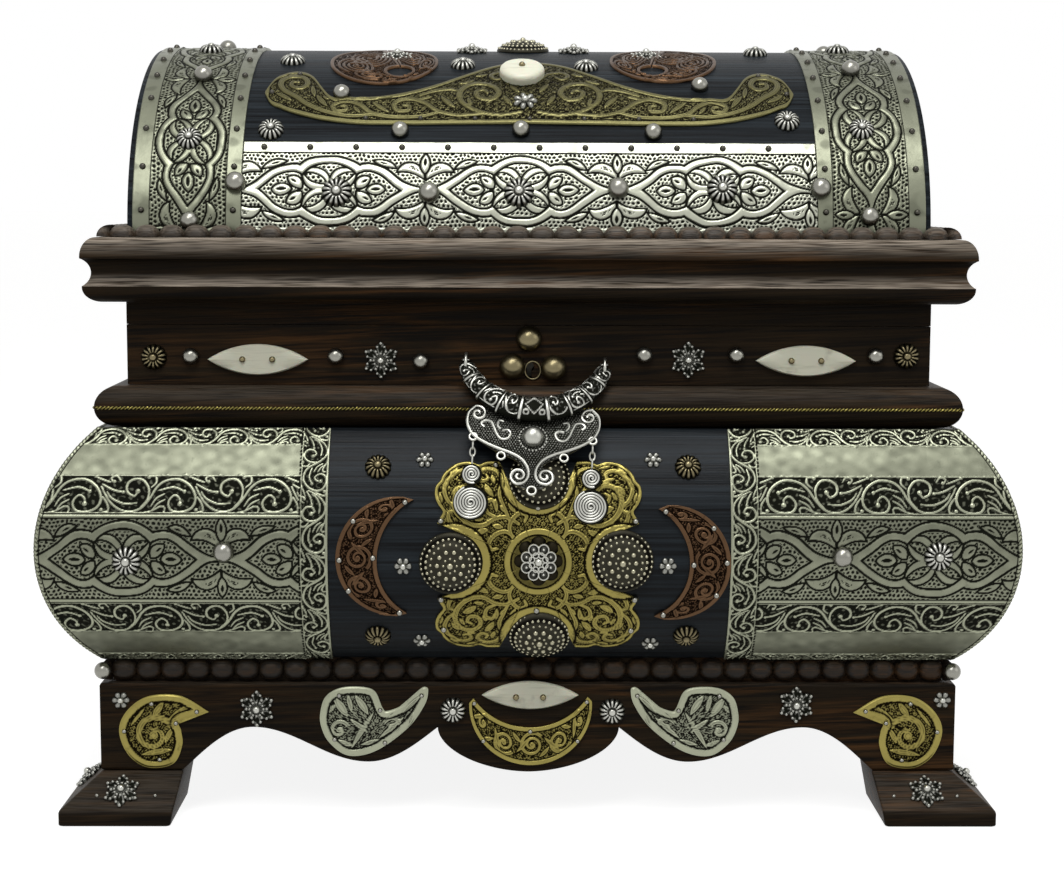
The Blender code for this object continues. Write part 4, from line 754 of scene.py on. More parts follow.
def foot(sx, sy):
    """Block with an upright toe and two slopes: round-cornered rectangles at each height."""
    out_x, out_y = HALF_W + APRON_OUT, HALF_D + APRON_OUT
    rows = []
    # Each level: how far the toe stands out, height and how far the edge is tucked in
    for splay, z, tuck in ((TOE_OUT, 0.0, 1.0), (TOE_OUT, 0.4, 0.3), (TOE_OUT, 0.9, 0.0), (TOE_OUT, 6.2, 0.0),
                           (16.9, 7.2, 0.0), (16.0, 8.2, 0.0), (0.6, 21.2, 0.0), (0.0, FOOT_Z1, 0.4)):
        lean = FOOT_LEAN * (1 - z / FOOT_Z1)
        ring = ring_outline(out_x - LEG + tuck + lean, out_x + splay - tuck,
                            out_y - LEG + tuck + lean, out_y + splay - tuck, 1.2)
        rows.append(np.column_stack([ring * (sx, sy), np.full(len(ring), z)]))
    rows = np.array(rows)
    if sx * sy < 0:
        rows = rows[:, ::-1]
    shell = grid(rows, wrap=(False, True))
    count = rows.shape[1]
    shell["ends"] = [np.arange(count)[::-1], np.arange(count) + count * (len(rows) - 1)]
    return shell


BEAD_PITCH, BEAD_R = 11.5, 5.4


def bead_run(side, out, z, start):
    """String of half round beads: a radius that swells once per bead, carried along a side; the half
    turn starts at an angle in degrees, and the ends stop at the mitre."""
    half = SIDES[side][2]
    corner = half + out
    count = round(2 * corner / BEAD_PITCH)
    pitch = 2 * corner / count
    # Fourteen steps to a bead, and half a bead past each corner
    x = np.arange(-7 * (count + 1), 7 * (count + 1) + 1) / 14 * pitch
    phase = np.abs(2 * np.mod((x + corner) / pitch, 1) - 1)
    r = BEAD_R * np.sqrt(1 - 0.84 * phase ** 2.4)
    a = np.radians(start + np.linspace(0, 180, 13))[:, None]
    o, h = out + r * np.cos(a), z + r * np.sin(a)
    reach = half + o
    return grid(on_side(side, np.clip(x, -reach, reach), o, h))


# Half turn of the belly's curve in degrees, middle and reach of the hollow behind its boards, and the
# radius of the waist's nose
BELLY_TURN, HOLLOW_OUT, HOLLOW_REACH, NOSE_R = 49.976, -12.1, 36.1, 9.5


class CASKET_OT_case(bpy.types.Operator):
    """Belly boards, waist moulding with its twisted wire, the plain neck, hinges and lock"""
    bl_idname = "casket.case"
    bl_label = "Case"

    def execute(self, context):
        outer = arc((BELLY_AXIS, BELLY_MID), BELLY_R, -BELLY_TURN, BELLY_TURN, 65)
        inner = arc((HOLLOW_OUT, BELLY_MID), HOLLOW_REACH, 90, -90, 33, (BELLY_Z1 - BELLY_MID) / HOLLOW_REACH)
        nose = arc((WAIST_OUT - NOSE_R, WAIST_Z0 + NOSE_R), NOSE_R, -90, 90, 25)
        waist = [(-BOARD, WAIST_Z0), (2.0, WAIST_Z0)] + nose + [(2.0, WAIST_Z1), (-BOARD, WAIST_Z1)]
        for side in SIDES:
            way = lengthwise(side)
            make("belly_board_" + side, [run(side, outer + inner)], "black paint " + way, "case",
                 "belly_" + side)
            make("waist_board_" + side, [run(side, waist)], "stained pine " + way, "case",
                 "waist_moulding_" + side)
            make("waist_wire_" + side, [twisted(side)], "chased brass", "case")
            show("stained pine " + way, "neck_" + side)
        for end, _ in ENDS:
            show("black iron", "hinge_case_leaf_" + end, "hinge_lid_leaf_" + end, "hinge_pin_" + end)
        show("black iron", "lock_case", "lock_strike")
        show("dark brass", "lock_bolt")
        return {"FINISHED"}


# Twist of the wire on the waist, its height above the foot of the nose and how far it stands out
WIRE_TWIST, WIRE_UP, WIRE_OUT = 3.6, 9.3, 0.1


def twisted(side):
    """Two-strand wire: an oval section that turns as it runs along the nose of the waist, dark where
    the strands meet."""
    half = SIDES[side][2] + WAIST_OUT
    x = np.linspace(-half + 1, half - 1, int(half * 2 / 0.50))
    a = turns(10)[:, None]
    swell = np.cos(2 * (a - 2 * math.pi * x / WIRE_TWIST))
    r = 0.62 + 0.26 * swell
    out, z = WAIST_OUT + WIRE_OUT + r * np.cos(a), WAIST_Z0 + WIRE_UP + r * np.sin(a)
    return grid(on_side(side, x + 0 * r, out, z), wrap=(True, False), caps=True,
                patina=1 - smooth(-0.6, 0.3, swell))


class CASKET_OT_lid(bpy.types.Operator):
    """Cornice, bead strip, lid frame and the painted dome"""
    bl_idname = "casket.lid"
    bl_label = "Lid"

    def execute(self, context):
        # Section of the cornice from its foot to its top
        z = CORNICE_Z0
        roll = arc((8.5, z + 7), 8.5, -90, 0, 13, 7 / 8.5)
        cove = bowed((17.0, z + 7.6), (17.8, z + 20.4), 4.0, 17)
        nose = arc((11.5, z + 21), 6.3, 0, 90, 13, 9 / 6.3)
        cornice = [(0.3, z), (7.5, z)] + roll + cove + nose + [(10.5, CORNICE_Z1), (0.3, CORNICE_Z1)]
        for side in SIDES:
            pine = "stained pine " + lengthwise(side)
            make("cornice_moulding_" + side, [run(side, cornice)], pine, "lid", "cornice_" + side, 40)
            show(pine, "lid_frame_" + side)
        make("lid_beads", [bead_run(side, 5.7, DOME_Z0, 0) for side in SIDES], "polished pine beads", "lid",
             "lid_bead_strip")
        t = np.linspace(0, math.pi, 129)
        wide, tall = DOME_A - DOME_WALL, DOME_B - DOME_WALL
        loop = np.concatenate([np.stack([-DOME_A * np.cos(t), DOME_Z0 + DOME_B * np.sin(t)], -1),
                               np.stack([wide * np.cos(t), DOME_Z0 + tall * np.sin(t)], -1)])
        x = np.array([-DOME_HALF, -DOME_HALF + 0.6, DOME_HALF - 0.6, DOME_HALF])
        points = np.zeros((len(loop), len(x), 3))
        points[..., 0] = x
        points[..., 1:] = loop[:, None]
        make("dome_board", [grid(points, wrap=(True, False), caps=True)], "matt black paint", "lid",
             "dome_shell")
        show("stained pine along Y", "dome_end_left", "dome_end_right")
        return {"FINISHED"}


# Dark share of tarnished sheet that no hand polishes
TARNISH = 0.35

# Bands up the curve of the belly: lower and upper edge, and the step of a vine, or 0 for medallions
BELLY_BANDS = ((51.3, 61.6, 14.0), (17.7, 35.7, 21.6), (-21.9, 15.9, 0), (-40.6, -24.0, 21.0),
               (-61.6, -56.3, 11.0))
BELLY_RIBS = (16.6, -22.9)
BORDER_WIDE, SHEET_HALF, FLOWER_X = 12.6, 61.4, 186.0


def cladding_pattern(u, s, border, mitre):
    """Relief of the belly sheet: bands of vine, plain strip and medallions up the curve, an upright
    vine along the inner border and a roped rim along the mitre. border and mitre are distances."""
    ragged = 0.55 * ripple(u, s, 9.0, 1.7) * ripple(u, s, 3.1, 4.2)
    height = 0.18 * ripple(u, s, 26.0, 0.4)
    # Tarnish with a random swell, and painted reflection: about the medallion band the sheet is darker up the
    # curve and lighter down it
    worn = TARNISH + 0.05 * ripple(u, s, 7.0, 1.6) + 0.08 * np.clip(s / 16, -1, 1) * (np.abs(s) < 24)
    dark = worn + 0.09 + 0.06 * smooth(0.2, 0.9, ripple(u, s, 14.0, 2.2))
    for low, high, step in BELLY_BANDS:
        middle, span = (low + high) / 2, high - low
        within = np.minimum(s - low, high - s) + ragged * (step > 0) > 0
        if step:
            mark = scroll(u[within] + 3 * middle, s[within] - middle, span, step, 0.36 / span + 0.008)
        else:
            mark = medallion(u[within], s[within] - middle, span / 2)
            mark = mark[0], np.maximum(mark[1], worn[within])
        height[within], dark[within] = mark
    for level in BELLY_RIBS:
        height = np.maximum(height, 0.9 * (1 - smooth(0.3, 1.0, np.abs(s - level))))
        dark = np.where(np.abs(s - level) < 0.5, 0.1, np.maximum(dark, line(np.abs(s - level) - 1.0, 0.5)))
    if border is not None:
        within = border < BORDER_WIDE
        height[within], dark[within] = scroll(s[within] + 2.0, border[within] - 6.6, 12.2, 14.0, 0.037)
        nick = line(border - BORDER_WIDE - 0.4, 0.9) * (np.mod(s, 1.9) < 1.2)
        dark = np.where(border < 0.7, 0.15, np.maximum(dark, nick))
    rope = smooth(0.9, 1.5, mitre) < 0.5
    strand = 0.5 + 0.5 * np.sin(2 * math.pi * (s / 1.9 + mitre / 2.2))
    height = np.where(rope, 0.5 + 0.5 * strand, height)
    dark = np.where(rope, 0.75 * (strand < 0.35), np.maximum(dark, line(mitre - 1.7, 0.5)))
    return height, dark


def cladding(side, way, spacing):
    """Belly sheet on one side: from its inner edge to the mitre, or from mitre to mitre."""
    s = np.linspace(-SHEET_HALF, SHEET_HALF, int(2 * SHEET_HALF / spacing))[:, None]
    corner = SIDES[side][2] + BELLY_AXIS + (BELLY_R + SHEET_TOP) * np.cos(s / BELLY_R)
    if side in ("front", "back"):
        m = CLAD_INNER + np.linspace(0, 1, int(130 / spacing)) * (corner - CLAD_INNER)
        x = way * m
        height, dark = cladding_pattern(m - FLOWER_X, s + 0 * m, m - CLAD_INNER, corner - m)
        if way < 0:
            x, height, dark = x[:, ::-1], height[:, ::-1], dark[:, ::-1]
    else:
        x = np.linspace(-1, 1, int(300 / spacing)) * corner
        height, dark = cladding_pattern(x, s + 0 * x, None, corner - np.abs(x))
    return sheet(on_belly(side), x, s + 0 * x, SHEET_TOP + setting("emboss") * height, dark)


class CASKET_OT_cladding(bpy.types.Operator):
    """Embossed white metal round both ends of the belly"""
    bl_idname = "casket.cladding"
    bl_label = "Belly cladding"

    def execute(self, context):
        for end, way in ENDS:
            for place, run_of_sheet in (("front", ("front", way, 0.43)), ("end", (end, 0, 0.86)),
                                        ("back", ("back", -way, 0.92))):
                make(f"cladding_{place}_{end}", [cladding(*run_of_sheet)], "tarnished metal sheet", "case",
                     "belly_cladding_" + end, 0)
        return {"FINISHED"}


# Bands of the dome: half length and top of the front one, lower and upper edge of its medallions and the
# place of a flower; inner and outer edge of an arch, middle, half width and edges of its medallions,
# and where its first flower is
FRONT_HALF, FRONT_TOP, FRONT_EDGES, FRONT_FLOWER = 134.7, 46.6, (3.6, 40.5), (-4.0, 22.0)
ARCH_INNER, ARCH_OUTER, ARCH_MID, ARCH_HALF, ARCH_EDGES = 135, 185.5, 159.8, 17.6, (142.2, 177.4)
ARCH_FLOWERS = {"left": 47.6, "right": 56.0}


class CASKET_OT_bands(bpy.types.Operator):
    """Embossed bands on the front and over both ends of the dome"""
    bl_idname = "casket.bands"
    bl_label = "Dome bands"

    def execute(self, context):
        emboss = setting("emboss")
        foot, top = 0.4, DOME_ARC[-1] - 0.4
        x, s = np.meshgrid(np.linspace(-FRONT_HALF, FRONT_HALF, 790), np.linspace(foot, FRONT_TOP, 120))
        height, dark = medallion(x - FRONT_FLOWER[0], s - FRONT_FLOWER[1], HALF_CHAIN)
        plain = (s < FRONT_EDGES[0]) | (s > FRONT_EDGES[1])
        height = np.where(plain, 0.35 + 0.18 * ripple(x, s, 24.0, 1.1), height)
        dark = np.where(plain, 0.08 + 0.25 * smooth(0.1, 0.9, ripple(x, s, 11.0, 3.0)), dark)
        dark = np.maximum(dark, 0.85 * line(s - FRONT_EDGES[1] - 0.1, 0.6))
        make("dome_sheet_front", [sheet(on_dome, x, s, SHEET_TOP + emboss * height, dark)],
             "white metal sheet", "lid", "dome_band_front", 0)
        for end, way in ENDS:
            # Close rows where the front shows the arch, wide ones behind the crown
            up = np.concatenate([np.linspace(foot, 150, 340), np.linspace(150.9, top, 160)])
            m, s = np.meshgrid(np.linspace(ARCH_INNER, ARCH_OUTER, 116), up)
            height, dark = medallion(s - ARCH_FLOWERS[end], m - ARCH_MID, ARCH_HALF)
            dark = np.maximum(dark, TARNISH + 0.10 * ripple(m, s, 7.0, 2.6))
            plain = (m < ARCH_EDGES[0]) | (m > ARCH_EDGES[1])
            height = np.where(plain, 0.35 + 0.18 * ripple(m, s, 24.0, 2.3), height)
            dark = np.where(plain, TARNISH + 0.15 * smooth(0.3, 0.9, ripple(m, s, 13.0, 5.0)), dark)
            dark = np.maximum(dark, 0.85 * line(np.abs(m - ARCH_MID) - ARCH_HALF - 0.1, 0.6))
            x = way * m
            if way < 0:
                x, s, height, dark = (a[:, ::-1] for a in (x, s, height, dark))
            make("dome_sheet_" + end, [sheet(on_dome, x, s, SHEET_TOP + emboss * height, dark)],
                 "tarnished metal sheet", "lid", "dome_band_" + end, 0)
        return {"FINISHED"}


def raised(height):
    """How far a chased plaque stands off its surface, from the height of its relief."""
    return np.maximum(1.2 + setting("emboss") * height, 0.3)


def plaque(rule, x, y, height, dark):
    """Thin metal from rows round its middle, the outer row first and folded down to the surface."""
    foot = rule(x[:1], y[:1], np.zeros_like(x[:1]))
    return grid(np.concatenate([foot, rule(x, y, height)]), wrap=(False, True), poles=(False, True),
                patina=np.concatenate([dark[:1], dark]))


def disc_plate(rule, outline, centre, scrolls, leaves):
    """Chased plaque whose edge is seen whole from its centre: rays from the centre to the outline."""
    outline, c = np.array(outline, float), np.array(centre, float)
    t = np.sin(np.linspace(0, math.pi / 2, 44))[::-1, None, None]
    p = c + (outline - c)[None] * t
    gap = np.min([np.sqrt(((p[:, :, None] - outline[None, None, k::8]) ** 2).sum(-1)).min(-1)
                  for k in range(8)], axis=0)
    inside = 0.68 * gap
    x, y = p[..., 0], p[..., 1]
    height, dark = arabesque(x, y, scrolls, leaves, inside)
    height = np.maximum(0.9 + setting("emboss") * height - 0.5 * (1 - smooth(0, 0.9, inside)), 0.15)
    return plaque(rule, x, y, height, dark)


# Crescents: which end, then the inner and the outer arc, each as start, end and sag
BELLY_CRESCENTS = (
    ("left", ((-53.2, 24.3), (-56.6, -29.5), -15.0), ((-57.5, 25.5), (-61.0, -30.8), -29.5)),
    ("right", ((58.0, -31.0), (59.3, 20.3), -15.0), ((62.5, -32.5), (63.5, 22.0), -29.5)))
DOME_CRESCENTS = (
    ("left", ((-63.9, 108.8), (-63.3, 108.8), -12.4), ((-72.1, 141.8), (-71.5, 141.8), -53.2)),
    ("right", ((60.3, 110.8), (60.9, 110.8), -12.4), ((66.3, 144.4), (66.9, 144.4), -52.8)))
APRON_CRESCENT = ((-26.0, 57.6), (28.0, 58.4), -14.5), ((-28.0, 55.4), (30.0, 56.2), -30.5)


class CASKET_OT_plaques(bpy.types.Operator):
    """Chased brass, copper and white metal plaques"""
    bl_idname = "casket.plaques"
    bl_label = "Plaques"

    def execute(self, context):
        belly, apron_front = on_belly("front"), on_front(APRON_OUT)
        make("belly_plaque_sheet", [belly_plaque(belly)], "chased brass", "case", "belly_plaque", 0)
        for end, *arcs in BELLY_CRESCENTS:
            make("belly_crescent_sheet_" + end, [crescent(belly, *arcs)], "chased copper", "case",
                 "belly_crescent_" + end, 0)
        for end, *arcs in DOME_CRESCENTS:
            make("dome_crescent_" + end, [crescent(on_dome, *arcs)], "chased copper", "lid", sharp=0)
        for end, way in ENDS:
            make("apron_comma_" + end, [apron_plaque(apron_front, way, *COMMA)], "chased brass", "case",
                 sharp=0)
            make("apron_paisley_" + end, [apron_plaque(apron_front, way, *PAISLEY)], "tarnished metal sheet",
                 "case", sharp=0)
        make("apron_crescent", [crescent(apron_front, *APRON_CRESCENT)], "chased brass", "case", sharp=0)
        make("dome_moustache", [moustache()], "dull brass", "lid", "dome_plaque", 0)
        return {"FINISHED"}


# Belly plaque: its middle, how far out the bosses sit, the bite round a boss and the ring in the middle
PLAQUE_X, PLAQUE_S, BOSS_OUT, BITE_R, RING_R = 4, -4, 39, 13.6, 15.8
# One quarter of its edge between two bites
PLAQUE_LOBES = (
    (46.4, 17.2), (45.0, 20.0), (43.6, 23.0), (45.8, 26.2), (47.3, 30.0), (47.0, 34.6), (44.8, 37.4),
    (43.8, 40.0), (41.0, 43.4), (37.0, 45.8), (31.4, 46.6), (27.4, 45.2), (23.6, 46.8), (17.4, 46.8))


def mirrored(stems, leaves, middle, ways):
    """Stems and leaves set about a middle once for each pair of signs, which mirror them."""
    every_stem, every_leaf = [], []
    for signs in ways:
        place = lambda p: (middle[0] + signs[0] * p[0], middle[1] + signs[1] * p[1])
        every_stem += [([place(p) for p in points], width) for width, points in stems]
        every_leaf += [(place(p), place(t), left, right) for p, t, left, right in leaves]
    return every_stem, every_leaf


def belly_plaque(rule):
    """Square plaque with lobed corners and a round bite at each boss, from rays out of its middle."""
    a = turns(620)
    fold = np.arctan2(np.abs(np.sin(a)), np.abs(np.cos(a)))
    lobes = through(PLAQUE_LOBES, 6)
    corner = np.interp(fold, np.arctan2(lobes[:, 1], lobes[:, 0]), np.hypot(lobes[:, 0], lobes[:, 1]))
    k = BOSS_OUT * np.sin(np.minimum(fold, math.pi / 2 - fold))
    bite = np.sqrt(BOSS_OUT ** 2 - k ** 2) - np.sqrt(np.maximum(BITE_R ** 2 - k ** 2, 0))
    r = np.minimum(corner, np.where(k < BITE_R, bite, 99))
    quarters = ((-1, -1), (-1, 1), (1, -1), (1, 1))
    stems, leaves = mirrored(PLAQUE_STEMS, PLAQUE_LEAVES, (PLAQUE_X, PLAQUE_S), quarters)
    t = np.linspace(1, 0, 108)[:, None]
    x, y = PLAQUE_X + t * r * np.cos(a), PLAQUE_S + t * r * np.sin(a)
    edge = np.stack([x[0], y[0]], -1)[::2]
    inside = np.min([np.hypot(x[..., None] - edge[i::10, 0], y[..., None] - edge[i::10, 1]).min(-1)
                     for i in range(10)], axis=0)
    across, up = np.abs(x - PLAQUE_X), np.abs(y - PLAQUE_S)
    bite = np.minimum(np.hypot(across - BOSS_OUT, up), np.hypot(across, up - BOSS_OUT)) - BITE_R
    inside = np.minimum(1.5 * inside, 0.6 * bite)
    height, dark = arabesque(x, y, (), leaves, inside, stems)
    m = np.hypot(x - PLAQUE_X, y - PLAQUE_S)
    ring = smooth(12.5, 13.0, m) * (1 - smooth(15.0, 15.6, m))
    ink = np.maximum.reduce([line(m - 12.4, 0.8), line(m - 15.9, 0.8), 0.55 * (m < 12.4)])
    dark = np.where(m < RING_R, ink, dark)
    height = np.where(m < RING_R, 0.7 * ring - 0.4 * (m < 11), height)
    return plaque(rule, x, y, raised(height), dark)


# One quarter of the belly plaque: width and points of each stem, and each leaf
PLAQUE_STEMS = (
    (2.3, ((9.0, 17.6), (14.5, 20.4), (20, 19.8), (25.5, 16.8), (32, 17.8), (36.8, 22.5), (38.2, 29),
           (35.0, 34.2), (29.6, 34.8), (26.4, 31.4), (27.6, 27.6), (31.2, 27.0), (32.6, 29.8),
           (30.6, 31.2))),
    (2.1, ((13.2, 19.2), (15.6, 25), (17.8, 31), (16.6, 37), (19.0, 42.0), (24.4, 43.2), (28.0, 40.2),
           (26.0, 37.2), (23.2, 38.4), (24.0, 40.2))),
    (1.9, ((31, 17.4), (36.4, 16.9), (40.2, 18.2), (41.2, 22.0), (39.2, 23.4))),
    (2.1, ((37.4, 24.5), (41.4, 28), (43.2, 33.5), (40.6, 38.8), (35.6, 42.2), (31.2, 41.0), (31.8, 38.0),
           (34.6, 38.2))),
    (1.8, ((18.5, 20.2), (23.2, 22.6), (24.2, 26.6), (21.2, 28.4), (20.0, 25.8))),
    (2.0, ((11.4, 11.8), (15.0, 14.0), (19.4, 12.8), (22.4, 9.4), (21.6, 6.0), (18.6, 6.4))),
    (2.0, ((11.8, 11.4), (13.2, 15.6), (11.8, 19.6), (8.6, 22.4), (5.4, 21.2), (6.2, 18.4))))
PLAQUE_LEAVES = (
    ((20.4, 30.0), (24.6, 36.0), 2.0, 1.0), ((10.4, 22.6), (13.4, 28.6), 1.7, 0.9),
    ((22.6, 14.8), (29.0, 12.4), 0.7, 1.8), ((28.4, 21.2), (34.8, 25.0), 2.1, 1.0),
    ((36.6, 35.0), (39.8, 30.6), 1.2, 1.0), ((20.0, 36.0), (21.4, 40.4), 1.2, 1.2),
    ((16.0, 16.0), (21.0, 16.8), 1.2, 1.0), ((34.6, 13.6), (41.0, 15.2), 1.2, 0.8),
    ((13.2, 33.4), (14.6, 41.0), 1.0, 1.3), ((41.6, 40.6), (36.6, 44.0), 1.2, 1.1),
    ((44.4, 26.0), (45.2, 31.6), 1.0, 1.0), ((27.0, 43.6), (33.4, 44.4), 1.1, 0.9),
    ((9.6, 28.6), (12.0, 33.6), 1.3, 0.8), ((19.0, 22.6), (19.4, 29.0), 1.2, 0.8),
    ((24.6, 20.0), (29.6, 19.4), 1.0, 0.8), ((23.6, 30.0), (25.4, 26.4), 0.9, 0.9),
    ((33.6, 32.0), (36.2, 28.0), 1.0, 0.8), ((28.6, 37.0), (33.0, 36.4), 0.9, 0.8),
    ((39.4, 26.2), (36.6, 20.0), 0.5, 0.9), ((14.6, 22.6), (17.6, 26.0), 1.0, 0.7))


def crescent(rule, inner, outer):
    """Crescent between two arcs, each given as start, end and sag: one parameter runs from horn to
    horn, the other from the inner arc to the outer; a vine of spirals and leaves winds along it."""
    a, b = np.array(bowed(*inner, 200)), np.array(bowed(*outer, 200))
    w = np.linspace(0, 1, 60)[:, None]
    p = a + (b - a) * w[..., None]
    wide = np.linalg.norm(b - a, axis=1)
    reach = np.cumsum(np.linalg.norm(np.diff((a + b) / 2, axis=0, prepend=(a + b)[:1] / 2), axis=1))
    half = reach[-1] / 2
    inside = np.minimum(np.minimum(w, 1 - w) * wide, np.minimum(reach, reach[-1] - reach) + 0.2)
    scrolls, leaves = [], []
    for i, place in enumerate(np.arange(12.5 - half, half - 8, 13.4)):
        flip = 1 if i % 2 else -1
        size = 0.33 * np.interp(place + half, reach, wide)
        scrolls.append((place, 0.8 * flip, size, 2.6, 0.6 * flip, flip, 1.5))
        leaves += [((place - 7, -3.5 * flip), (place - 1, 4.6 * flip), 0.9, 0.9),
                   ((place + 3, -5.5 * flip), (place + 8, -1.5 * flip), 1.0, 0.8)]
    height, dark = arabesque(reach - half + 0 * w, (w - 0.5) * wide, scrolls, leaves, inside * 1.1)
    return sheet(rule, p[:, ::-1, 0], p[:, ::-1, 1], raised(height)[:, ::-1], dark[:, ::-1])


# Lower and upper edge of the moustache from its middle to its tip
MOUSTACHE_LOW = (
    (0, 58.6), (38, 58.0), (62, 57.6), (88, 58.6), (105, 62.4), (119, 68.5), (125, 73.5), (127.4, 79.7))
MOUSTACHE_TOP = (
    (0, 114.4), (5, 114), (14.4, 110.6), (29, 99.6), (43.5, 88.6), (62.5, 79.4), (86, 76.4), (97, 78.6),
    (101, 86), (105, 94.5), (112, 100.4), (119, 98), (124, 91.5), (127.4, 80.3))


def moustache():
    """Plaque between a lower and an upper edge, both smooth lines over its length."""
    tip = np.linspace(96, 127.3, 82)
    x = np.concatenate([-tip[::-1], np.linspace(-95.6, 95.6, 370), tip])
    m = np.abs(x)
    low, top = curve(m, MOUSTACHE_LOW)[0], curve(m, MOUSTACHE_TOP)[0]
    w = np.linspace(0, 1, 84)[:, None]
    y = low + (top - low) * w
    x = x + 0 * y
    inside = np.minimum(np.minimum(w, 1 - w) * (top - low) * 0.9, 127.6 - m)
    stems, leaves = mirrored(MOUSTACHE_STEMS, MOUSTACHE_LEAVES, (0, 0), ((-1, 1), (1, 1)))
    height, dark = arabesque(x, y, (), leaves, inside, stems)
    return sheet(on_dome, x, y, raised(height), dark)


# Right half of the moustache: width and points of each stem, and each leaf
MOUSTACHE_STEMS = (
    (2.8, ((4, 66), (14, 63.8), (24, 66), (32.5, 73), (33.2, 82), (27, 88.6), (18.4, 87), (14.8, 80.4),
           (18.6, 75), (24.6, 76.6), (25.6, 81.4), (22.0, 83.0), (20.4, 80.6))),
    (2.6, ((23, 64.6), (34, 63.4), (44, 66.4), (50.6, 72.4), (57.6, 75.2), (64.4, 72.2), (63.6, 66.8),
           (58.4, 66.2), (57.6, 69.6), (60.4, 70.2))),
    (2.6, ((43, 65.4), (52, 62.4), (64, 61.9), (75, 64.4), (81, 70.4), (87.4, 73.2), (93.6, 70.6),
           (92.8, 66.2), (88.4, 66.0), (87.8, 69.0), (90.2, 69.4))),
    (2.8, ((74, 63.6), (86, 62.6), (97, 65.4), (106, 70.6), (112, 76.6), (118.6, 82.4), (120.4, 89.4),
           (116, 94.8), (109.8, 93.8), (107.4, 88.0), (110.6, 83.8), (115.0, 85.8), (114.6, 89.8),
           (112.0, 89.4))),
    (2.2, ((33.0, 81), (38.6, 83.4), (46, 81.6), (52.6, 77.8))),
    (2.2, ((4.6, 92), (9.4, 99), (15.6, 100.4), (18.8, 96.4), (16.0, 93.2), (12.8, 95.0))))
MOUSTACHE_LEAVES = (
    ((35.6, 68.6), (42.6, 77.6), 1.8, 1.0), ((66.8, 65.0), (75.6, 73.0), 1.6, 0.9),
    ((96.6, 69.0), (102.4, 78.0), 1.6, 1.0), ((103.2, 76.6), (105.0, 86.0), 1.2, 1.0),
    ((114.0, 73.4), (122.4, 79.4), 0.8, 1.6), ((8.4, 70.6), (12.6, 78.6), 1.6, 1.0),
    ((4.6, 80.6), (9.4, 88.4), 1.6, 1.0), ((26.4, 92.0), (34.4, 88.2), 1.4, 0.8),
    ((20.0, 98.6), (26.6, 96.0), 1.2, 0.8), ((80.6, 64.4), (84.4, 69.4), 1.0, 0.9),
    ((28.0, 69.6), (29.6, 76.6), 1.0, 1.0), ((46.4, 77.2), (54.0, 74.6), 1.2, 0.6),
    ((66.0, 76.6), (74.0, 75.4), 0.9, 0.6), ((77.6, 75.6), (84.0, 75.2), 0.8, 0.6),
    ((34.0, 61.0), (41.0, 61.2), 0.7, 0.6), ((96.0, 74.6), (99.4, 76.6), 0.8, 0.8),
    ((5.0, 101.6), (9.6, 107.0), 1.2, 0.8), ((112.8, 96.8), (118.6, 96.4), 0.8, 0.8))


# Plaques left of the apron's middle: points of the edge, steps between them, middle, shift of the
# mirror image, curls and leaves
COMMA = (
    ((-193.6, 41.8), (-189.5, 51.5), (-179.5, 58.3), (-164.7, 58.6), (-152.4, 51.6), (-151.6, 50.6),
     (-153.0, 50.2), (-164.8, 46.4), (-164.3, 41.5), (-163.9, 34.6), (-168.4, 25.6), (-180.4, 23.9),
     (-189.6, 30.2)), 22, (-176, 41), 3.0,
    [(-177.2, 39.6, 9.6, 6.0, 0.4, 1, 2.7)],
    [((-171.5, 45), (-159, 54.5), 1.9, 0.9), ((-177.5, 48.6), (-172.4, 55.6), 1.5, 1.5),
     ((-183.5, 30.0), (-168, 32.6), 1.5, 1.2), ((-172, 35.6), (-168, 43.5), 1.4, 1.0),
     ((-188, 44), (-181, 53), 0.7, 0.7)])
PAISLEY = (
    ((-98.5, 50), (-96, 58), (-89.1, 62.4), (-79, 63.0), (-72.6, 60.8), (-69.0, 52.8), (-66.5, 51.4),
     (-59, 54.6), (-51.2, 62.0), (-48.4, 62.9), (-47.4, 61.0), (-49.0, 54.5), (-56, 44.2), (-68, 34.4),
     (-78, 30.0), (-87, 30.2), (-94.6, 36.4), (-98, 43.5)), 16, (-73, 43), 1.0,
    [(-64.0, 44.0, 4.6, 3.2, 2.8, -1, 1.8), (-89.5, 42.2, 4.6, 3.2, 0.4, 1, 1.7)],
    [((-84, 33), (-73, 51), 1.4, 1.0), ((-84.5, 47.5), (-76, 41), 1.2, 0.9),
     ((-92, 58), (-85.5, 48.6), 2.0, 1.7), ((-85.5, 59.5), (-83.5, 50.5), 1.2, 1.0),
     ((-95.6, 50), (-91, 54.5), 1.0, 1.0), ((-57, 44), (-54.5, 51), 1.0, 1.2),
     ((-82, 59), (-75.6, 49.5), 1.8, 1.4), ((-71, 38), (-59, 48.5), 0.9, 1.1),
     ((-60.5, 49), (-50.6, 59.5), 1.2, 1.0), ((-92.5, 37), (-83, 34.5), 1.4, 1.1),
     ((-79.5, 35), (-68.5, 37.5), 1.1, 0.9)])


def apron_plaque(rule, way, edge, steps, middle, shift, scrolls, leaves):
    """Plaque inside a smooth line through its edge points, with curls and leaves; on the right it is
    the mirror image, moved by a shift."""
    outline = through(edge, steps, True)[::-1]
    if way > 0:
        flip = lambda p: (shift - p[0], p[1])
        outline = outline[::-1] * (-1, 1) + (shift, 0)
        middle = flip(middle)
        scrolls = [(shift - x, y, r, pitch, math.pi - turn, -hand, wide)
                   for x, y, r, pitch, turn, hand, wide in scrolls]
        leaves = [(flip(a), flip(b), right, left) for a, b, left, right in leaves]
    return disc_plate(rule, outline, middle, scrolls, leaves)


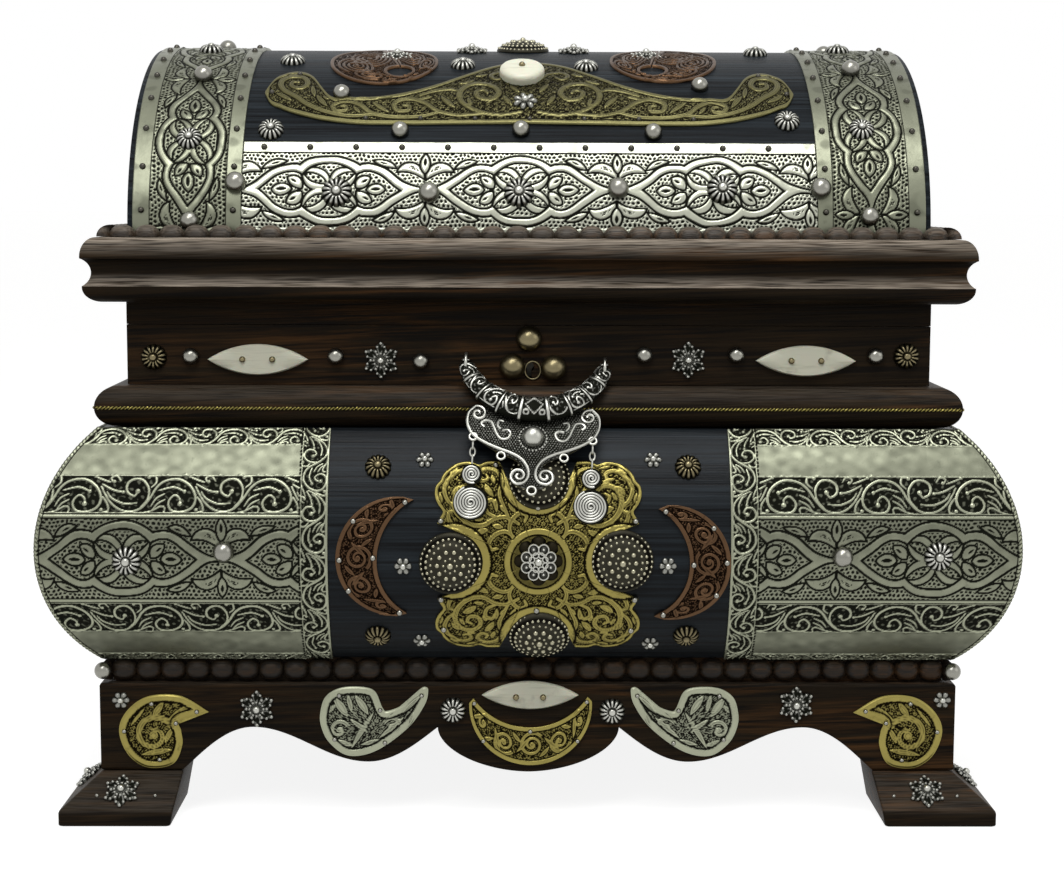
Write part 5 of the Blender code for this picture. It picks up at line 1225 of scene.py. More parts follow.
def ball(radius, lift=0.0):
    """Plain round nail head: most of a sphere on the surface."""
    a = np.radians(np.linspace(-18, 90, 11))
    return turned(np.stack([radius * np.cos(a), lift + radius * (0.31 + np.sin(a))], -1), 24)[0]


def nail(spots, rule, radius):
    """Round nail heads with painted shade on their lower flank, where they meet the surface, and their own
    bright metal on the crown.
    """
    # Painted shade: the lowest rows of each head are darkest, fading out about halfway up
    rim = 0.55 * (1 - smooth(0.0, 0.55, np.linspace(-0.1, 1, 12)))[:, None]
    return put(ball(radius), spots, rule, patina=rim)


def bead(radius, lift=0.0):
    """Small round bead in few faces."""
    a = np.radians(np.linspace(-10, 90, 4))
    return turned(np.stack([radius * np.cos(a), lift + radius * np.sin(a)], -1), 8)[0]


def daisies(spots, rule, scale=1.0):
    """Fluted nail heads: a low dome cut by fourteen flutes round a button, dark in the flutes."""
    radius = scale * setting("daisy")
    profile = np.array(((1, 0), (1, 0.10), (0.93, 0.26), (0.80, 0.41), (0.65, 0.50), (0.48, 0.53),
                        (0.36, 0.47), (0.30, 0.42), (0.27, 0.58), (0.18, 0.68), (0, 0.70))) * radius
    shape, share = turned(profile, 84)
    ridge = np.abs(np.sin(7 * turns(84)))
    flute, rim = smooth(0.32, 0.45, share), smooth(0.8, 1.0, share)
    groove = (1 - ridge) ** 1.6 * flute
    shape[..., 2] -= 0.20 * radius * groove * (share > 0)
    shape[..., :2] *= (1 - 0.07 * groove * rim)[..., None]
    flank = 0.55 * (1 - ridge ** 3) * flute + 0.3 * rim
    button = 0.9 * line((share - 0.31) * radius, 0.5)
    return put(shape, spots, rule, patina=np.clip(np.maximum(0.95 * groove + flank, button), 0, 1))


def petals(radius, count, depth, tall):
    """Flat flower: a disc whose edge swells into petals, each one domed, and its dark share."""
    profile = np.array(((1, 0), (1, 0.3), (0.9, 0.75), (0.72, 1.0), (0.5, 0.85), (0.3, 0.55), (0, 0.5)))
    shape, share = turned(profile * (radius, tall), 12 * count)
    petal = np.abs(np.cos(count / 2 * turns(12 * count)))
    shape[..., :2] *= (1 - depth * (1 - petal ** 0.7) * smooth(0.2, 0.8, share))[..., None]
    shape[..., 2] *= 1 - 0.5 * (1 - petal) * smooth(0.25, 0.6, share)
    dark = 1.2 * (1 - petal) ** 2 * smooth(0.2, 0.5, share) + 0.7 * (1 - smooth(0.2, 0.4, share))
    return shape, np.clip(dark, 0, 1)


def flower_set(spots, rule, petal_sizes, knob, lift):
    """Flat flowers with a knob in the middle."""
    shape, dark = petals(*petal_sizes)
    return [put(shape, spots, rule, patina=0.4 + 0.6 * dark), put(ball(knob, lift), spots, rule)]


def star(radius):
    """Pierced star: a low domed disc with six points, dark where it is pierced, and its dark share."""
    profile = np.array(((1, 0), (1, 0.08), (0.85, 0.15), (0.68, 0.18), (0.5, 0.24), (0.34, 0.30),
                        (0.2, 0.33), (0, 0.34)))
    shape, share = turned(profile * radius, 72)
    a = turns(72)
    point = np.abs(np.cos(3 * a))
    shape[..., :2] *= (1 - 0.30 * (1 - point ** 1.5) * smooth(0.4, 0.9, share))[..., None]
    hole = np.hypot(share - 0.66, 0.66 * (np.mod(a + math.pi / 6, math.pi / 3) - math.pi / 6))
    return shape, np.maximum(1 - smooth(0.12, 0.16, hole), 0.78 + 0.2 * np.sin(18 * a) * (share > 0.3))


def around(spots, radius, count, turn=0.0):
    """Spots in a ring round each spot."""
    a = turn + turns(count)
    ring = radius * np.stack([np.cos(a), np.sin(a)], -1)
    return (np.array(spots, float).reshape(-1, 1, 2) + ring).reshape(-1, 2)


def star_set(spots, rule):
    """Stars with their rings of beads and middle knobs."""
    r = setting("star")
    shape, dark = star(r)
    parts = [put(shape, spots, rule, math.pi / 6, patina=dark), put(ball(0.22 * r, 0.28 * r), spots, rule)]
    # Each ring: its radius, number of beads, turn, and size and height of a bead
    for reach, count, turn, size, lift in ((0.97, 6, math.pi / 6, 0.12, 0.10),
                                           (0.80, 12, math.pi / 12, 0.10, 0.14),
                                           (0.58, 6, 0.0, 0.11, 0.19), (0.40, 12, 0.0, 0.09, 0.26)):
        places = around(spots, reach * r, count, turn)
        parts.append(put(bead(size * r, lift * r), places, rule, patina=0.3))
    return parts


def boss_set(spots, rule, scale=1.0):
    """Domed bosses with rings of beads."""
    radius = scale * setting("boss")
    profile = np.array(((1, 0), (1, 0.06), (0.97, 0.11), (0.86, 0.20), (0.7, 0.29), (0.5, 0.36),
                        (0.25, 0.41), (0, 0.42)))
    shape, share = turned(profile * radius, 48)
    dark = 0.76 + 0.10 * line((share - 0.85) * radius, 1.0) + 0.10 * line((share - 0.56) * radius, 1.6)
    parts = [put(shape, spots, rule, patina=np.clip(dark, 0, 1))]
    # Each ring: its radius, number of beads and size of a bead
    for reach, count, size in ((0.93, 36, 0.050), (0.77, 27, 0.064), (0.62, 20, 0.052), (0.41, 10, 0.088),
                               (0.21, 8, 0.048)):
        lift = np.interp(-reach, -profile[:, 0], profile[:, 1]) - 0.01
        parts.append(put(bead(size * radius, lift * radius), around(spots, reach * radius, count), rule))
    return parts + [put(ball(0.11 * radius, 0.40 * radius), spots, rule)]


def slab(rule, outline, centre, steps):
    """Closed plate on a surface: its outline drawn in toward a centre by (share, height) steps."""
    outline, c = np.array(outline, float), np.array(centre, float)
    rows = [rule(*(c + (outline - c) * share).T, np.full(len(outline), n)) for share, n in steps]
    return grid(np.array(rows), wrap=(False, True), poles=(True, True))


def almond(rule, x, z, half, tall):
    """Bone almond 3 mm thick: two arcs with a soft edge and a nearly flat face."""
    left, right = (x - half, z), (x + half, z)
    edge = bowed(right, left, -tall, 41)[:-1] + bowed(left, right, -tall, 41)[:-1]
    return slab(rule, edge, (x, z), ((0, 0), (1, 0), (1, 1.65), (0.975, 2.4), (0.92, 2.82), (0.6, 3), (0, 3)))


# Places of nails and trim: across, and height on a flat front or distance up a curve
NECK_BALLS = ((-159, 218.3), (-91, 218.5), (-51, 216.2), (54, 219.4), (97.4, 219.5), (163, 219.2))
DOME_BALLS = ((-61.5, 53.5), (-4.2, 54.4), (58.5, 52.9), (-90.5, 79.6), (82.6, 87.4))
DOME_DAISIES = ((-122.6, 54.4), (122.7, 61), (-117.5, 118.4), (-32.8, 112.9), (28.1, 110.7), (115.2, 141))
BAND_BALLS = ((-137.6, 24.8), (-47.2, 20.3), (41.3, 22.6), (136.2, 22.9))
BAND_DAISIES = ((-90.3, 20.6), (-5.1, 20.9), (90.1, 22.7))
BELLY_DAISIES = ((-69.8, 40.4), (73.2, 40.7), (-70.4, -43.8), (73.4, -43.5))
BELLY_FLOWERS = ((-48.3, 44.1), (57.2, 44.3), (-57.9, -6.1), (63.6, -5.8), (-50, -47.3), (56.9, -49.3))
BELLY_BOSSES = ((-36.2, -4.6), (42.6, -3.4), (4.6, 34.0), (4.9, -43.0))
PLAQUE_NAILS = (
    (-57.0, 23.0), (-80.6, 14.5), (-87.0, -3.0), (-83.0, -17.5), (-59.8, -28.8), (-71.6, -2.0), (62.4, 19.0),
    (84.4, 11.6), (90.6, -4.0), (86.2, -19.5), (62.0, -29.8), (75.4, -5.0), (3.9, 20.6), (3.4, -27.6),
    (48.6, -21.8), (-40.6, -21.8), (48.6, 14.6), (-40.6, 14.6), (47.4, -39.0), (-39.6, -38.6), (-15.5, 40.8))
APRON_NAILS = (
    (-177.9, 54.8), (-156.7, 51), (-166.6, 45.4), (-174.5, 27.8), (-191, 41.5), (181, 55.2), (159.8, 51.5),
    (169.6, 45.8), (177.5, 27.8), (194, 41.5), (-89.4, 58.9), (-70.1, 51.8), (-50.5, 58.9), (-91.7, 37.7),
    (-67.9, 36), (90.4, 58.9), (71.1, 51.8), (51.5, 58.9), (92.7, 37.7), (68.9, 36), (-25.6, 55.2),
    (-21.3, 37), (0.9, 41.6), (23.3, 37), (27.6, 56))
TOE_NAILS = ((-202.6, 9.0), (-175.3, 9.0), (172.4, 9.0), (202.2, 9.0))
ALMONDS = {"left": -127.6, "right": 130.2}
ROSETTE, DISC, CROWN = (4.2, -3.4), (-3.6, 98.5), (-2.9, 156.0)
KEYHOLE = (1.6, 212.0)
# Distance between the flowers of an arch
ARCH_STEP = 90


class CASKET_OT_nails(bpy.types.Operator):
    """Round, fluted and star nails, flowers, bosses and bone on the case"""
    bl_idname = "casket.nails"
    bl_label = "Nails and bone of the case"

    def execute(self, context):
        neck, low, belly = on_front(0.0), on_front(APRON_OUT), on_belly("front")
        clad = above(belly, SHEET_TOP)
        clad_ends = [above(on_belly(end), SHEET_TOP) for end, _ in ENDS]
        r = setting("ball")
        nickel = [nail(NECK_BALLS, neck, r), nail(((-139.7, 0.8), (143.5, -1.0)), clad, 1.2 * r),
                  put(bead(1.2, 0.2), APRON_NAILS, above(low, 1.2)),
                  nail(((-200.6, 70.6), (200.6, 70.6)), on_front(12.4), 4.1),
                  put(bead(1.0, 0.2), TOE_NAILS, toe("front"))]
        nickel += [nail(((-45, -2.9), (45, -2.9)), rule, 1.2 * r) for rule in clad_ends]
        make("nickel_nails", nickel, "nickel nail", "case")
        silver = [daisies(((-184.1, -3.5), (187.7, -0.9)), clad, 1.12),
                  daisies(((-35.7, 51.7), (39.6, 51.3)), low)]
        silver += [daisies(((0, -2.9),), rule) for rule in clad_ends]
        for spots, rule in ((((-192.5, 56.3), (196.2, 56.8)), low), (BELLY_FLOWERS, belly)):
            silver += flower_set(spots, rule, (4.2, 6, 0.30, 1.5), 1.5, 0.9)
        for spots, rule in ((((-69.8, 216.6), (74.8, 217.1)), neck), (((-128.4, 52.5), (126.9, 54.7)), low),
                            (((-191.3, 11.4), (188.0, 11.4)), toe("front")), (((120.0, 11.4),), toe("left")),
                            (((-120.0, 11.4),), toe("right"))):
            silver += star_set(spots, rule)
        make("silver_trim", silver, "old silver", "case")
        a = turns(40)
        ring = neck(KEYHOLE[0] + 3.7 * np.cos(a), KEYHOLE[1] + 4.2 * np.sin(a), 0.3)
        brass = [daisies(((-176.4, 217.8), (177.7, 219.2)), neck), daisies(BELLY_DAISIES, belly),
                 tube(ring, 0.5, 8, (0, -1, 0), True)]
        make("brass_nails", brass, "dark brass", "case")
        balls = nail(((-0.2, 226.9), (-8.0, 213.8), (11.4, 213.2)), neck, 6.2)
        make("brass_balls", [balls], "dark brass", "case")
        make("plaque_nails", [put(bead(1.5, 0.2), PLAQUE_NAILS, above(belly, 1.5))], "nickel nail", "case")
        make("beaded_bosses", boss_set(BELLY_BOSSES, belly), "gunmetal", "case")
        self.rosette(belly)
        pins = []
        for end, x in ALMONDS.items():
            make("neck_almond_" + end, [almond(neck, x, 216.8, 23.6, 7.2)], "cut bone", "case",
                 "bone_almond_" + end, 35)
            pins += [(x - 7, 217.0), (x + 7, 217.0)]
        make("apron_almond", [almond(low, 0.8, 59.2, 22.8, 6.6)], "cut bone", "case", sharp=35)
        make("almond_nails", [put(ball(1.5, 2.6), pins, neck),
                              put(ball(1.5, 2.6), ((-5.9, 58.6), (6.9, 58.6)), low)], "dark brass", "case")
        return {"FINISHED"}

    def rosette(self, belly):
        """Two flowers, one on the other, with wire round the petals of the upper one."""
        shape, dark = petals(11.6, 8, 0.20, 2.4)
        make("rosette_back", [put(shape, (ROSETTE,), belly, patina=0.78 + 0.2 * dark)], "dark brass", "case")
        shape, dark = petals(8.6, 8, 0.20, 2.2)
        shape[..., 2] += 1.7
        turn, reach = 0.39, 6.0
        parts = [put(shape, (ROSETTE,), belly, turn, patina=0.72 + 0.25 * dark),
                 put(ball(1.9, 3.0), (ROSETTE,), belly),
                 put(bead(0.7, 3.8), around((ROSETTE,), reach, 8, turn), belly)]
        a = turns(20)
        for out, r, n in ((reach, 2.3, 4.1), (3.3, 1.2, 4.2)):
            for x, s in around((ROSETTE,), out, 8, turn):
                parts.append(tube(belly(x + r * np.cos(a), s + r * np.sin(a), n), 0.42, 6, (0, -1, 0), True))
        make("rosette", parts, "old silver", "case")


class CASKET_OT_lid_nails(bpy.types.Operator):
    """Round, fluted and star nails, the crown boss and the bone disc on the lid"""
    bl_idname = "casket.lid_nails"
    bl_label = "Nails and bone of the lid"

    def execute(self, context):
        band = above(on_dome, SHEET_TOP)
        arch_balls = [(-158.6, 7.0), (158.9, 10.0)]
        for x, first in ((-158.6, 94.2), (158.0, 103.5)):
            arch_balls += [(x, first + ARCH_STEP * k) for k in range(3)]
        r = setting("ball")
        make("lid_nickel_nails", [nail(DOME_BALLS, on_dome, 1.06 * r), nail(BAND_BALLS, band, 1.25 * r),
                                  nail(arch_balls, band, 1.15 * r)], "nickel nail", "lid")
        small = [(x, 43.6) for x in np.arange(-125, 126, 21.6)]
        small += [(way * m, s) for way in (-1, 1) for m in (138.6, 181.4) for s in np.arange(12, 340, 21.0)]
        edge = [(x, 61.0) for x in range(-78, 79, 26)] + [(-112, 97.6), (112, 97.6), (-124, 80), (124, 80)]
        make("lid_small_nails", [put(bead(1.6, 0.3), small, band), put(bead(1.3, 0.3), edge, band)],
             "black iron", "lid")
        arch_daisies = [(-160.6, 48.0 + ARCH_STEP * k) for k in range(4)]
        arch_daisies += [(157.5, 55.0 + ARCH_STEP * k) for k in range(3)]
        silver = [daisies(DOME_DAISIES, on_dome), daisies(BAND_DAISIES, band, 1.18),
                  daisies(arch_daisies, band)]
        silver += flower_set(((-2.2, 73.4),), band, (6.0, 7, 0.5, 2.2), 1.7, 1.4)
        silver += star_set(((-29, 148), (23, 148), (-66, 128), (59, 131)), on_dome)
        make("lid_silver_trim", silver, "old silver", "lid")
        make("crown_boss", boss_set((CROWN,), on_dome, 0.92), "gunmetal", "lid")
        disc = slab(on_dome, around((DISC,), 11.0, 48), DISC, ((0, 0.6), (1, 0.6), (1.0, 3.4), (0.97, 4.6),
                                                               (0.88, 5.6), (0.7, 6.2), (0, 6.4)))
        make("bone_disc", [disc], "cut bone", "lid", sharp=35)
        make("bone_disc_nail", [put(ball(1.6, 6.0), (DISC,), on_dome)], "dark brass", "lid")
        return {"FINISHED"}


def toe(side):
    """Rule for the sloping toe of the feet on one side: (along, up the slope, out)."""
    return lambda x, t, n: on_side(side, x, APRON_OUT + TOE_OUT - TOE_RUN * t + TOE_RISE * n,
                                   TOE_Z + TOE_RISE * t + TOE_RUN * n)


# Tilt of the hanging pieces to one side, in degrees, and how far the pendant's ends are from its middle
TILT, STAPLE_X = 2.0, 32.5


def hung(pivot, lean, back=0.0):
    """Rule for a piece that hangs from a pivot and leans out by an angle in degrees: (across, up from
    the pivot, out of its front face)."""
    lean, tilt = math.radians(lean), math.radians(TILT)

    def rule(x, z, n):
        x, z, n = np.broadcast_arrays(np.asarray(x, float), z, n)
        y = -back - n
        y, z = y * math.cos(lean) + z * math.sin(lean), -y * math.sin(lean) + z * math.cos(lean)
        x, z = x * math.cos(tilt) + z * math.sin(tilt), -x * math.sin(tilt) + z * math.cos(tilt)
        return np.stack([x, y, z], -1) + np.array(pivot)

    return rule


on_pendant = hung((2.7, -128.6, 216.0), 34.5, 1.0)
ACROSS, OUTWARD = (on_pendant(*step) - on_pendant(0, 0, 0) for step in ((1, 0, 0), (0, 0, 1)))


def wire(path, radius, lift):
    """Round wire laid along a path on the pendant's face."""
    path = np.array(path, float)
    return tube(on_pendant(path[:, 0], path[:, 1], lift), radius, 7, OUTWARD)


def curl(centre, start, radius, rounds, hand):
    """Spiral that winds in from an angle, as points."""
    t = np.linspace(0, 1, 40)
    a = start + hand * 2 * math.pi * rounds * t
    r = radius * (1 - 0.86 * t)
    return np.stack([centre[0] + r * np.cos(a), centre[1] + r * np.sin(a)], -1)


# Half width of the pendant's plate at each height below its pivot
PLATE_EDGE = (
    (-66.5, 0.05), (-66.0, 3.2), (-64.4, 7.4), (-61, 9.3), (-58, 8.2), (-56.4, 5.2), (-54.5, 4.6),
    (-51.5, 8.4), (-48, 16.0), (-44, 22.4), (-40, 27.4), (-35.5, 30.2), (-30, 30.6), (-27, 29.0), (-25, 26.4))


def pendant_plate():
    """Winged plate: at each height a half width, with a front of close set grains and a plain back."""
    z = np.linspace(-66.5, -25.0, 112)
    half = curve(z, PLATE_EDGE)[0][:, None]
    z = z[:, None]
    t = np.linspace(-1, 1, 132)
    x = half * t
    grain = dots(x, z + 0 * x, 1.25, 0.30)
    rim = np.minimum(1, (1 - np.abs(t)) * half / 0.6)
    points = np.concatenate([on_pendant(x, z, 0.35 * grain * rim), on_pendant(x[:, ::-1], z, -2.0)], 1)
    middle = on_pendant(np.zeros(1), np.array([-25.0]), np.array([-1.0]))
    points = np.concatenate([points, np.broadcast_to(middle, (1,) + points.shape[1:])])
    dark = np.concatenate([0.91 - 0.42 * grain, 0 * x + 0.4], 1)
    return grid(points, wrap=(False, True), poles=(True, True), patina=np.concatenate([dark, dark[-1:]]))


def pendant_tube():
    """Drooping tube, flat front to back and bowed forward, with raised vine, collars and a diamond."""
    path = np.array(bowed((-STAPLE_X, -3), (STAPLE_X, -3), -25.0, 300))
    t = np.linspace(0, 1, 300)
    share = np.sin(math.pi * t) ** 0.8
    forward, radius = 1.2 + 4.3 * share, 3.4 + 2.8 * share
    way = np.gradient(path, axis=0)
    way /= np.linalg.norm(way, axis=1, keepdims=True)
    u = np.cumsum(np.linalg.norm(np.diff(path, axis=0, prepend=path[:1]), axis=1))
    u = u - u[-1] / 2
    a = turns(72)[:, None] - math.pi
    v = a * (4.2 + 1.2 * share)
    height, dark = scroll(u + 4.9 + 0 * v, v, 11.6, 9.9, 0.030, 4)
    outside = np.abs(v) > 5.5
    height, dark = np.where(outside, -0.4, height), np.where(outside, 0.95, dark)
    for place in (5.8, 15.5, 25.5, 35.0):
        collar = np.abs(np.abs(u) - place) + 0 * v
        dark = np.where(collar < 0.55, 0.05, np.where(collar < 0.95, 1.0, dark))
        height = np.where(collar < 0.55, 0.75, np.where(collar < 0.95, -0.6, height))
    diamond = np.abs(u) + np.abs(v - 0.4)
    near = np.abs(u) + 0 * v < 5.2
    ring = np.hypot(np.abs(u) - 3.4, np.abs(v - 0.4) - 3.6)
    height = np.where(near, np.where(diamond < 3.5, -2.2, np.where(diamond < 4.5, 0.9, -0.5)), height)
    dark = np.where(near, np.where((diamond > 3.5) & (diamond < 4.5), 0.0, 1.0), dark)
    dark = np.where(near & (diamond > 4.9), np.where(np.abs(ring - 1.1) < 0.35, 0.1, 0.9), dark)
    r = radius + 0.40 * height
    side = r * np.sin(a)
    x = path[:, 0] - way[:, 1] * side
    z = path[:, 1] + way[:, 0] * side
    points = on_pendant(x, z, forward - 1 + 0.64 * r * np.cos(a))
    return grid(points, wrap=(True, False), caps=True, patina=dark)


def charm(pivot):
    """Two flat coils of wire, one below the other, on a short chain of links."""
    place = hung(pivot, 16.0)
    parts = []
    # Each coil: how far below the pivot, radius, hand and the angle where its outer end lies
    for drop, radius, hand, turn in ((28.6, 8.1, 1, 2.0), (15.4, 4.8, -1, -1.2)):
        a = turns(96)
        r = np.linspace(1, 0, 46)[:, None] * radius
        x, z = r * np.cos(a), r * np.sin(a)
        d, _ = spiral(x, z, (0, 0), radius - 0.62, 1.24, turn, hand)
        round_wire = np.sqrt(np.clip(1 - (d / 0.66) ** 2, 0.02, 1))
        dark = smooth(0.30, 0.55, d) * (r > 0.3)
        x, z = (np.concatenate([0 * v[:1], v[:1], v]) for v in (x, z))
        lift = np.concatenate([np.full((2, 96), -0.6), 0.62 * round_wire])
        parts.append(grid(place(x, z - drop, lift), wrap=(False, True), poles=(True, True),
                          patina=np.concatenate([0 * dark[:2] + 0.3, dark])))
    a = turns(20)
    across, along = place(1, 0, 0) - place(0, 0, 0), place(0, 0, 1) - place(0, 0, 0)
    # The top link is round and set back, so that the ring of the plate stays inside it as it swings
    for path, facing in ((place(0, 2.2 * np.sin(a) - 1.9, 2.2 * np.cos(a) - 0.6), across),
                         (place(1.15 * np.cos(a), 2.0 * np.sin(a) - 5.1, 0), along),
                         (place(0, 2.2 * np.sin(a) - 8.5, 1.15 * np.cos(a)), across)):
        parts.append(tube(path, 0.42, 7, facing, True))
    return parts


# Wires on the left half of the pendant's plate
RIM_WIRE = (
    (-26.9, -25.2), (-30.0, -28.9), (-30.3, -34.6), (-27.6, -40.1), (-22.1, -43.9), (-15.7, -46.8),
    (-10.0, -48.9), (-5.0, -51.9), (-2.0, -56.5), (-1.8, -60.8), (-3.6, -63.7), (-6.7, -64.5))
SCROLL_WIRE = (
    (-22.4, -35.9), (-23.9, -34.3), (-22.5, -32.7), (-19.7, -32.9), (-18.2, -35.7), (-16.6, -39.6),
    (-14.4, -41.9), (-11.6, -41.4), (-10.3, -38.6), (-11.8, -37.0), (-14.2, -37.5))
HOOK_WIRE = ((-13.7, -32.7), (-15.8, -32.4), (-16.4, -34.8), (-15.0, -36.8))
# Rings at the edge of the plate: across, up and radius
LUGS = ((-27.5, -41.0, 1.75), (27.5, -41.0, 1.75), (-14.4, -50.4, 1.8), (14.4, -50.4, 1.8), (0, -67.6, 2.0))
KNOB = (0.0, -40.8)
CHARM_PIVOTS = {"left": (-26.013, -152.814, 181.75), "right": (28.954, -152.814, 179.83)}
# Staple from leg to leg: across from its bar, and back
STAPLE = ((-1.5, 8.0), (-1.5, 0.8), (-0.9, 0.0), (0.9, 0.0), (1.5, 0.8), (1.5, 8.0))


class CASKET_OT_pendant(bpy.types.Operator):
    """Silver pendant with its filigree tube, wired plate, rings and charms"""
    bl_idname = "casket.pendant"
    bl_label = "Pendant"

    def execute(self, context):
        a = turns(24)
        parts = [pendant_tube()]
        for x in (-STAPLE_X, STAPLE_X):
            path = on_pendant(x, -2.0 + 4.2 * np.cos(a), 0.3 + 3.4 * np.sin(a))
            parts.append(tube(path, 0.8, 8, ACROSS, True))
        make("pendant_filigree", parts, "old silver", "pendant", "pendant_tube")
        top, foot = curl((-25.6, -29.0), 1.90, 4.0, 1.35, -1), curl((-6.0, -60.4), -1.75, 4.1, 1.4, -1)
        rim = np.concatenate([top[::-1], through(RIM_WIRE, 8)[1:-1], foot])
        parts = [pendant_plate()]
        for path, radius in ((rim, 0.70), (through(SCROLL_WIRE, 8), 0.60), (through(HOOK_WIRE, 6), 0.55)):
            parts += [wire(path * (way, 1), radius, 0.25) for way in (1, -1)]
        for x, z, r in LUGS:
            parts.append(tube(on_pendant(x + r * np.cos(a), z + r * np.sin(a), -0.1), 0.60, 8, OUTWARD, True))
        parts += [put(ball(5.0), (KNOB,), on_pendant), put(bead(0.6), around((KNOB,), 6.3, 24), on_pendant)]
        make("pendant_relief", parts, "old silver", "pendant", "pendant_plate")
        for end, pivot in CHARM_PIVOTS.items():
            make("charm_coils_" + end, charm(pivot), "old silver", "charm_" + end, "charm_" + end)
        for end, way in ENDS:
            bar = on_pendant(way * STAPLE_X, 0.0, -1.0)
            path = bar + np.array([(side, back, 0.0) for side, back in STAPLE])
            make("staple_wire_" + end, [tube(path, 0.6, 8, (0, 0, 1))], "old silver", "case",
                 "pendant_staple_" + end)
        return {"FINISHED"}


# Lamps: place, size across and power; all of them aim at one place
LAMPS = {
    "key": ((-0.35, -1.10, 1.25), 0.5, 4.5),
    "top": ((0.05, -0.62, 1.50), 0.8, 10.5),
    "fill": ((1.3, -0.8, 0.8), 1.0, 2.0),
}
LAMP_AIM = (0, 0, 0.2)
# Camera solved from the photo: focal length and width of the frame in pixels, sensor width in
# millimetres, pitch, yaw and roll in degrees, and place in metres
FOCAL, FRAME_WIDTH, SENSOR = 2031.74, 1064, 36.0
PITCH, YAW, ROLL = 6.66, 0.60, 0.21
CAMERA_PLACE = (-0.00862, -1.0794, 0.2925)


def seen(node, ray):
    """1 for rays from the camera, mirrors and glass, and 0 for light off matt surfaces."""
    share = ray["Is Camera Ray"]
    for kind in ("Is Glossy Ray", "Is Transmission Ray"):
        share = node("Math", {0: share, 1: ray[kind]}, operation="MAXIMUM")
    return share


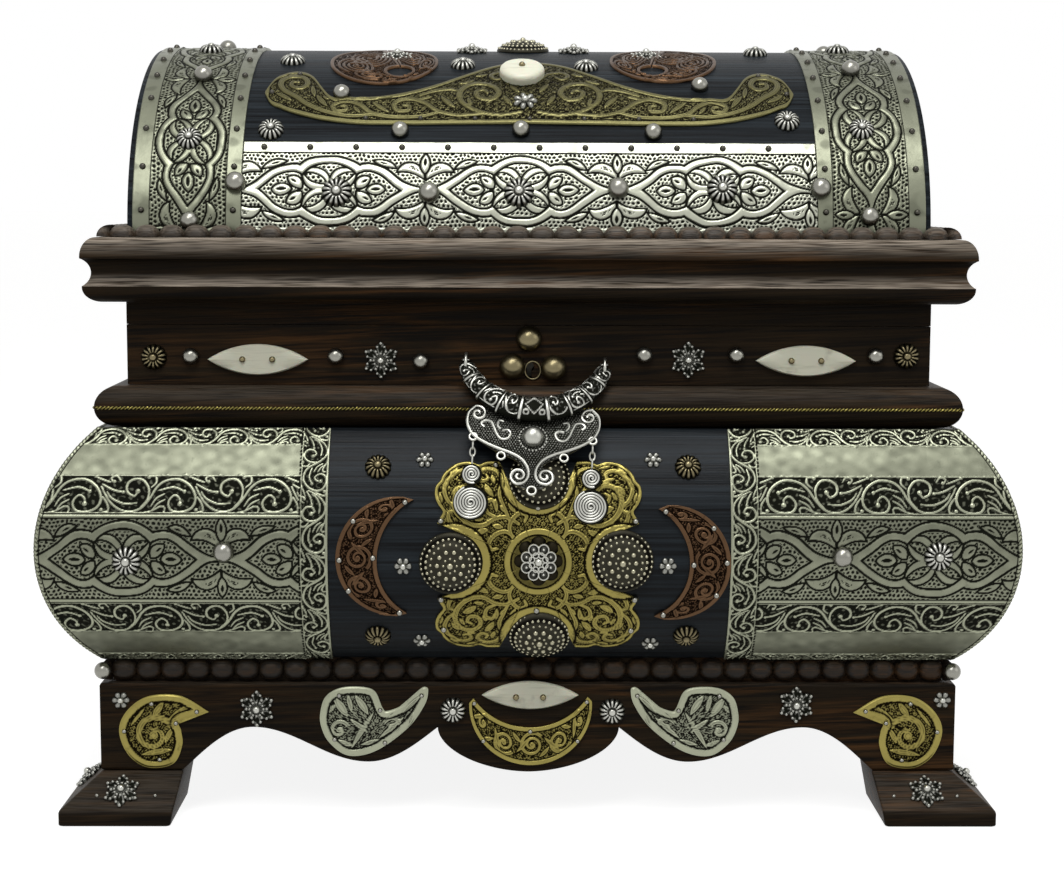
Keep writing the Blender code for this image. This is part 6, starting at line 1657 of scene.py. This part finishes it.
class CASKET_OT_stage(bpy.types.Operator):
    """Pale floor, soft studio light and the camera"""
    bl_idname = "casket.stage"
    bl_label = "Stage"

    def execute(self, context):
        context.scene.view_settings.view_transform = "Standard"
        self.floor(context.scene)
        self.light(context.scene)
        self.camera(context.scene)
        return {"FINISHED"}

    def floor(self, scene):
        """Wide matt floor, white to the eye, that throws little light back up, as a dark table would."""
        finish = bpy.data.materials.new("pale floor")
        node = nodes_of(finish)
        ray = node("LightPath").node.outputs
        tone = node("Mix", {0: ray["Is Diffuse Ray"], 6: tint("#f4f4f2"), 7: tint("#6a6a68")}, 2,
                    data_type="RGBA")
        matt = node("BsdfPrincipled", {"Base Color": tone, "Roughness": 0.9, "Specular IOR Level": 0.1})
        share = node("Math", {0: seen(node, ray), 1: 0.62}, operation="MULTIPLY")
        glow = node("Emission", {"Color": (1, 1, 1, 1), "Strength": 1.42})
        node("OutputMaterial", {"Surface": node("MixShader", {0: share, 1: matt, 2: glow})})
        t = np.linspace(-40, 40, 3)
        x, y = np.meshgrid(t, t)
        mesh = bpy.data.meshes.new("floor")
        mesh.from_pydata(np.stack([x, y, 0 * x - 0.00005], -1).reshape(-1, 3), [],
                         [(0, 1, 4, 3), (1, 2, 5, 4), (3, 4, 7, 6), (4, 5, 8, 7)])
        mesh.materials.append(finish)
        floor = bpy.data.objects.new("floor", mesh)
        scene.collection.objects.link(floor)

    def light(self, scene):
        """White surroundings that light the casket softly, and three round lamps."""
        scene.world = bpy.data.worlds.new("studio")
        node = nodes_of(scene.world)
        power = node("MapRange", {0: seen(node, node("LightPath").node.outputs), 3: 0.30, 4: 1.0})
        node("OutputWorld", {"Surface": node("Background", {"Color": (1, 1, 1, 1), "Strength": power})})
        for name, (place, size, watts) in LAMPS.items():
            lamp = bpy.data.lights.new(name, "AREA")
            lamp.shape, lamp.size, lamp.energy = "DISK", size, watts
            item = bpy.data.objects.new(name, lamp)
            scene.collection.objects.link(item)
            back = np.subtract(place, LAMP_AIM)
            back /= np.linalg.norm(back)
            side = np.cross((0.0, 1.0, 0.001), back)
            side /= np.linalg.norm(side)
            item.matrix_world = axes(side, np.cross(back, side), back, place)

    def camera(self, scene):
        """Camera at the place and angle that the photo was taken from."""
        lens = bpy.data.cameras.new("photo view")
        lens.sensor_fit, lens.sensor_width = "HORIZONTAL", SENSOR
        lens.lens = FOCAL / FRAME_WIDTH * SENSOR
        lens.clip_start, lens.clip_end = 0.05, 50.0
        camera = bpy.data.objects.new("photo view", lens)
        scene.collection.objects.link(camera)
        pitch, yaw, roll = (math.radians(v) for v in (PITCH, YAW, ROLL))
        ahead = np.array([math.sin(yaw) * math.cos(pitch), math.cos(yaw) * math.cos(pitch), -math.sin(pitch)])
        right = np.array([math.cos(yaw), -math.sin(yaw), 0.0])
        up = np.cross(right, ahead)
        c, s = math.cos(roll), math.sin(roll)
        camera.matrix_world = axes(c * right + s * up, -s * right + c * up, -ahead, CAMERA_PLACE)
        scene.camera = camera


def axes(x, y, z, place):
    """Matrix whose columns are three directions and a place."""
    rows = np.column_stack([x, y, z, place]).tolist()
    return Matrix(rows + [[0, 0, 0, 1]])


PIECES = (CASKET_OT_stage, CASKET_OT_base, CASKET_OT_case, CASKET_OT_lid, CASKET_OT_cladding,
          CASKET_OT_bands, CASKET_OT_plaques, CASKET_OT_nails, CASKET_OT_lid_nails, CASKET_OT_pendant)


class CASKET_PT_panel(bpy.types.Panel):
    """Lists the steps that dress the casket"""
    bl_label = "Casket"
    bl_space_type = "VIEW_3D"
    bl_region_type = "UI"
    bl_category = "Casket"

    def draw(self, context):
        for group in (context.scene.casket_sizes, context.scene.casket_colours):
            for key in group.__annotations__:
                self.layout.prop(group, key)
        for step in PIECES:
            self.layout.operator(step.bl_idname)


CLASSES = (CasketSizes, CasketColours) + PIECES + (CASKET_PT_panel,)


def register():
    """Adds the classes and the two groups of settings."""
    for item in CLASSES:
        bpy.utils.register_class(item)
    bpy.types.Scene.casket_sizes = bpy.props.PointerProperty(type=CasketSizes)
    bpy.types.Scene.casket_colours = bpy.props.PointerProperty(type=CasketColours)


def unregister():
    """Takes them away again."""
    del bpy.types.Scene.casket_colours
    del bpy.types.Scene.casket_sizes
    for item in reversed(CLASSES):
        bpy.utils.unregister_class(item)


def main():
    """Dresses the casket step by step."""
    register()
    for step in PIECES:
        group, name = step.bl_idname.split(".")
        getattr(getattr(bpy.ops, group), name)()


if __name__ == "__main__":
    main()
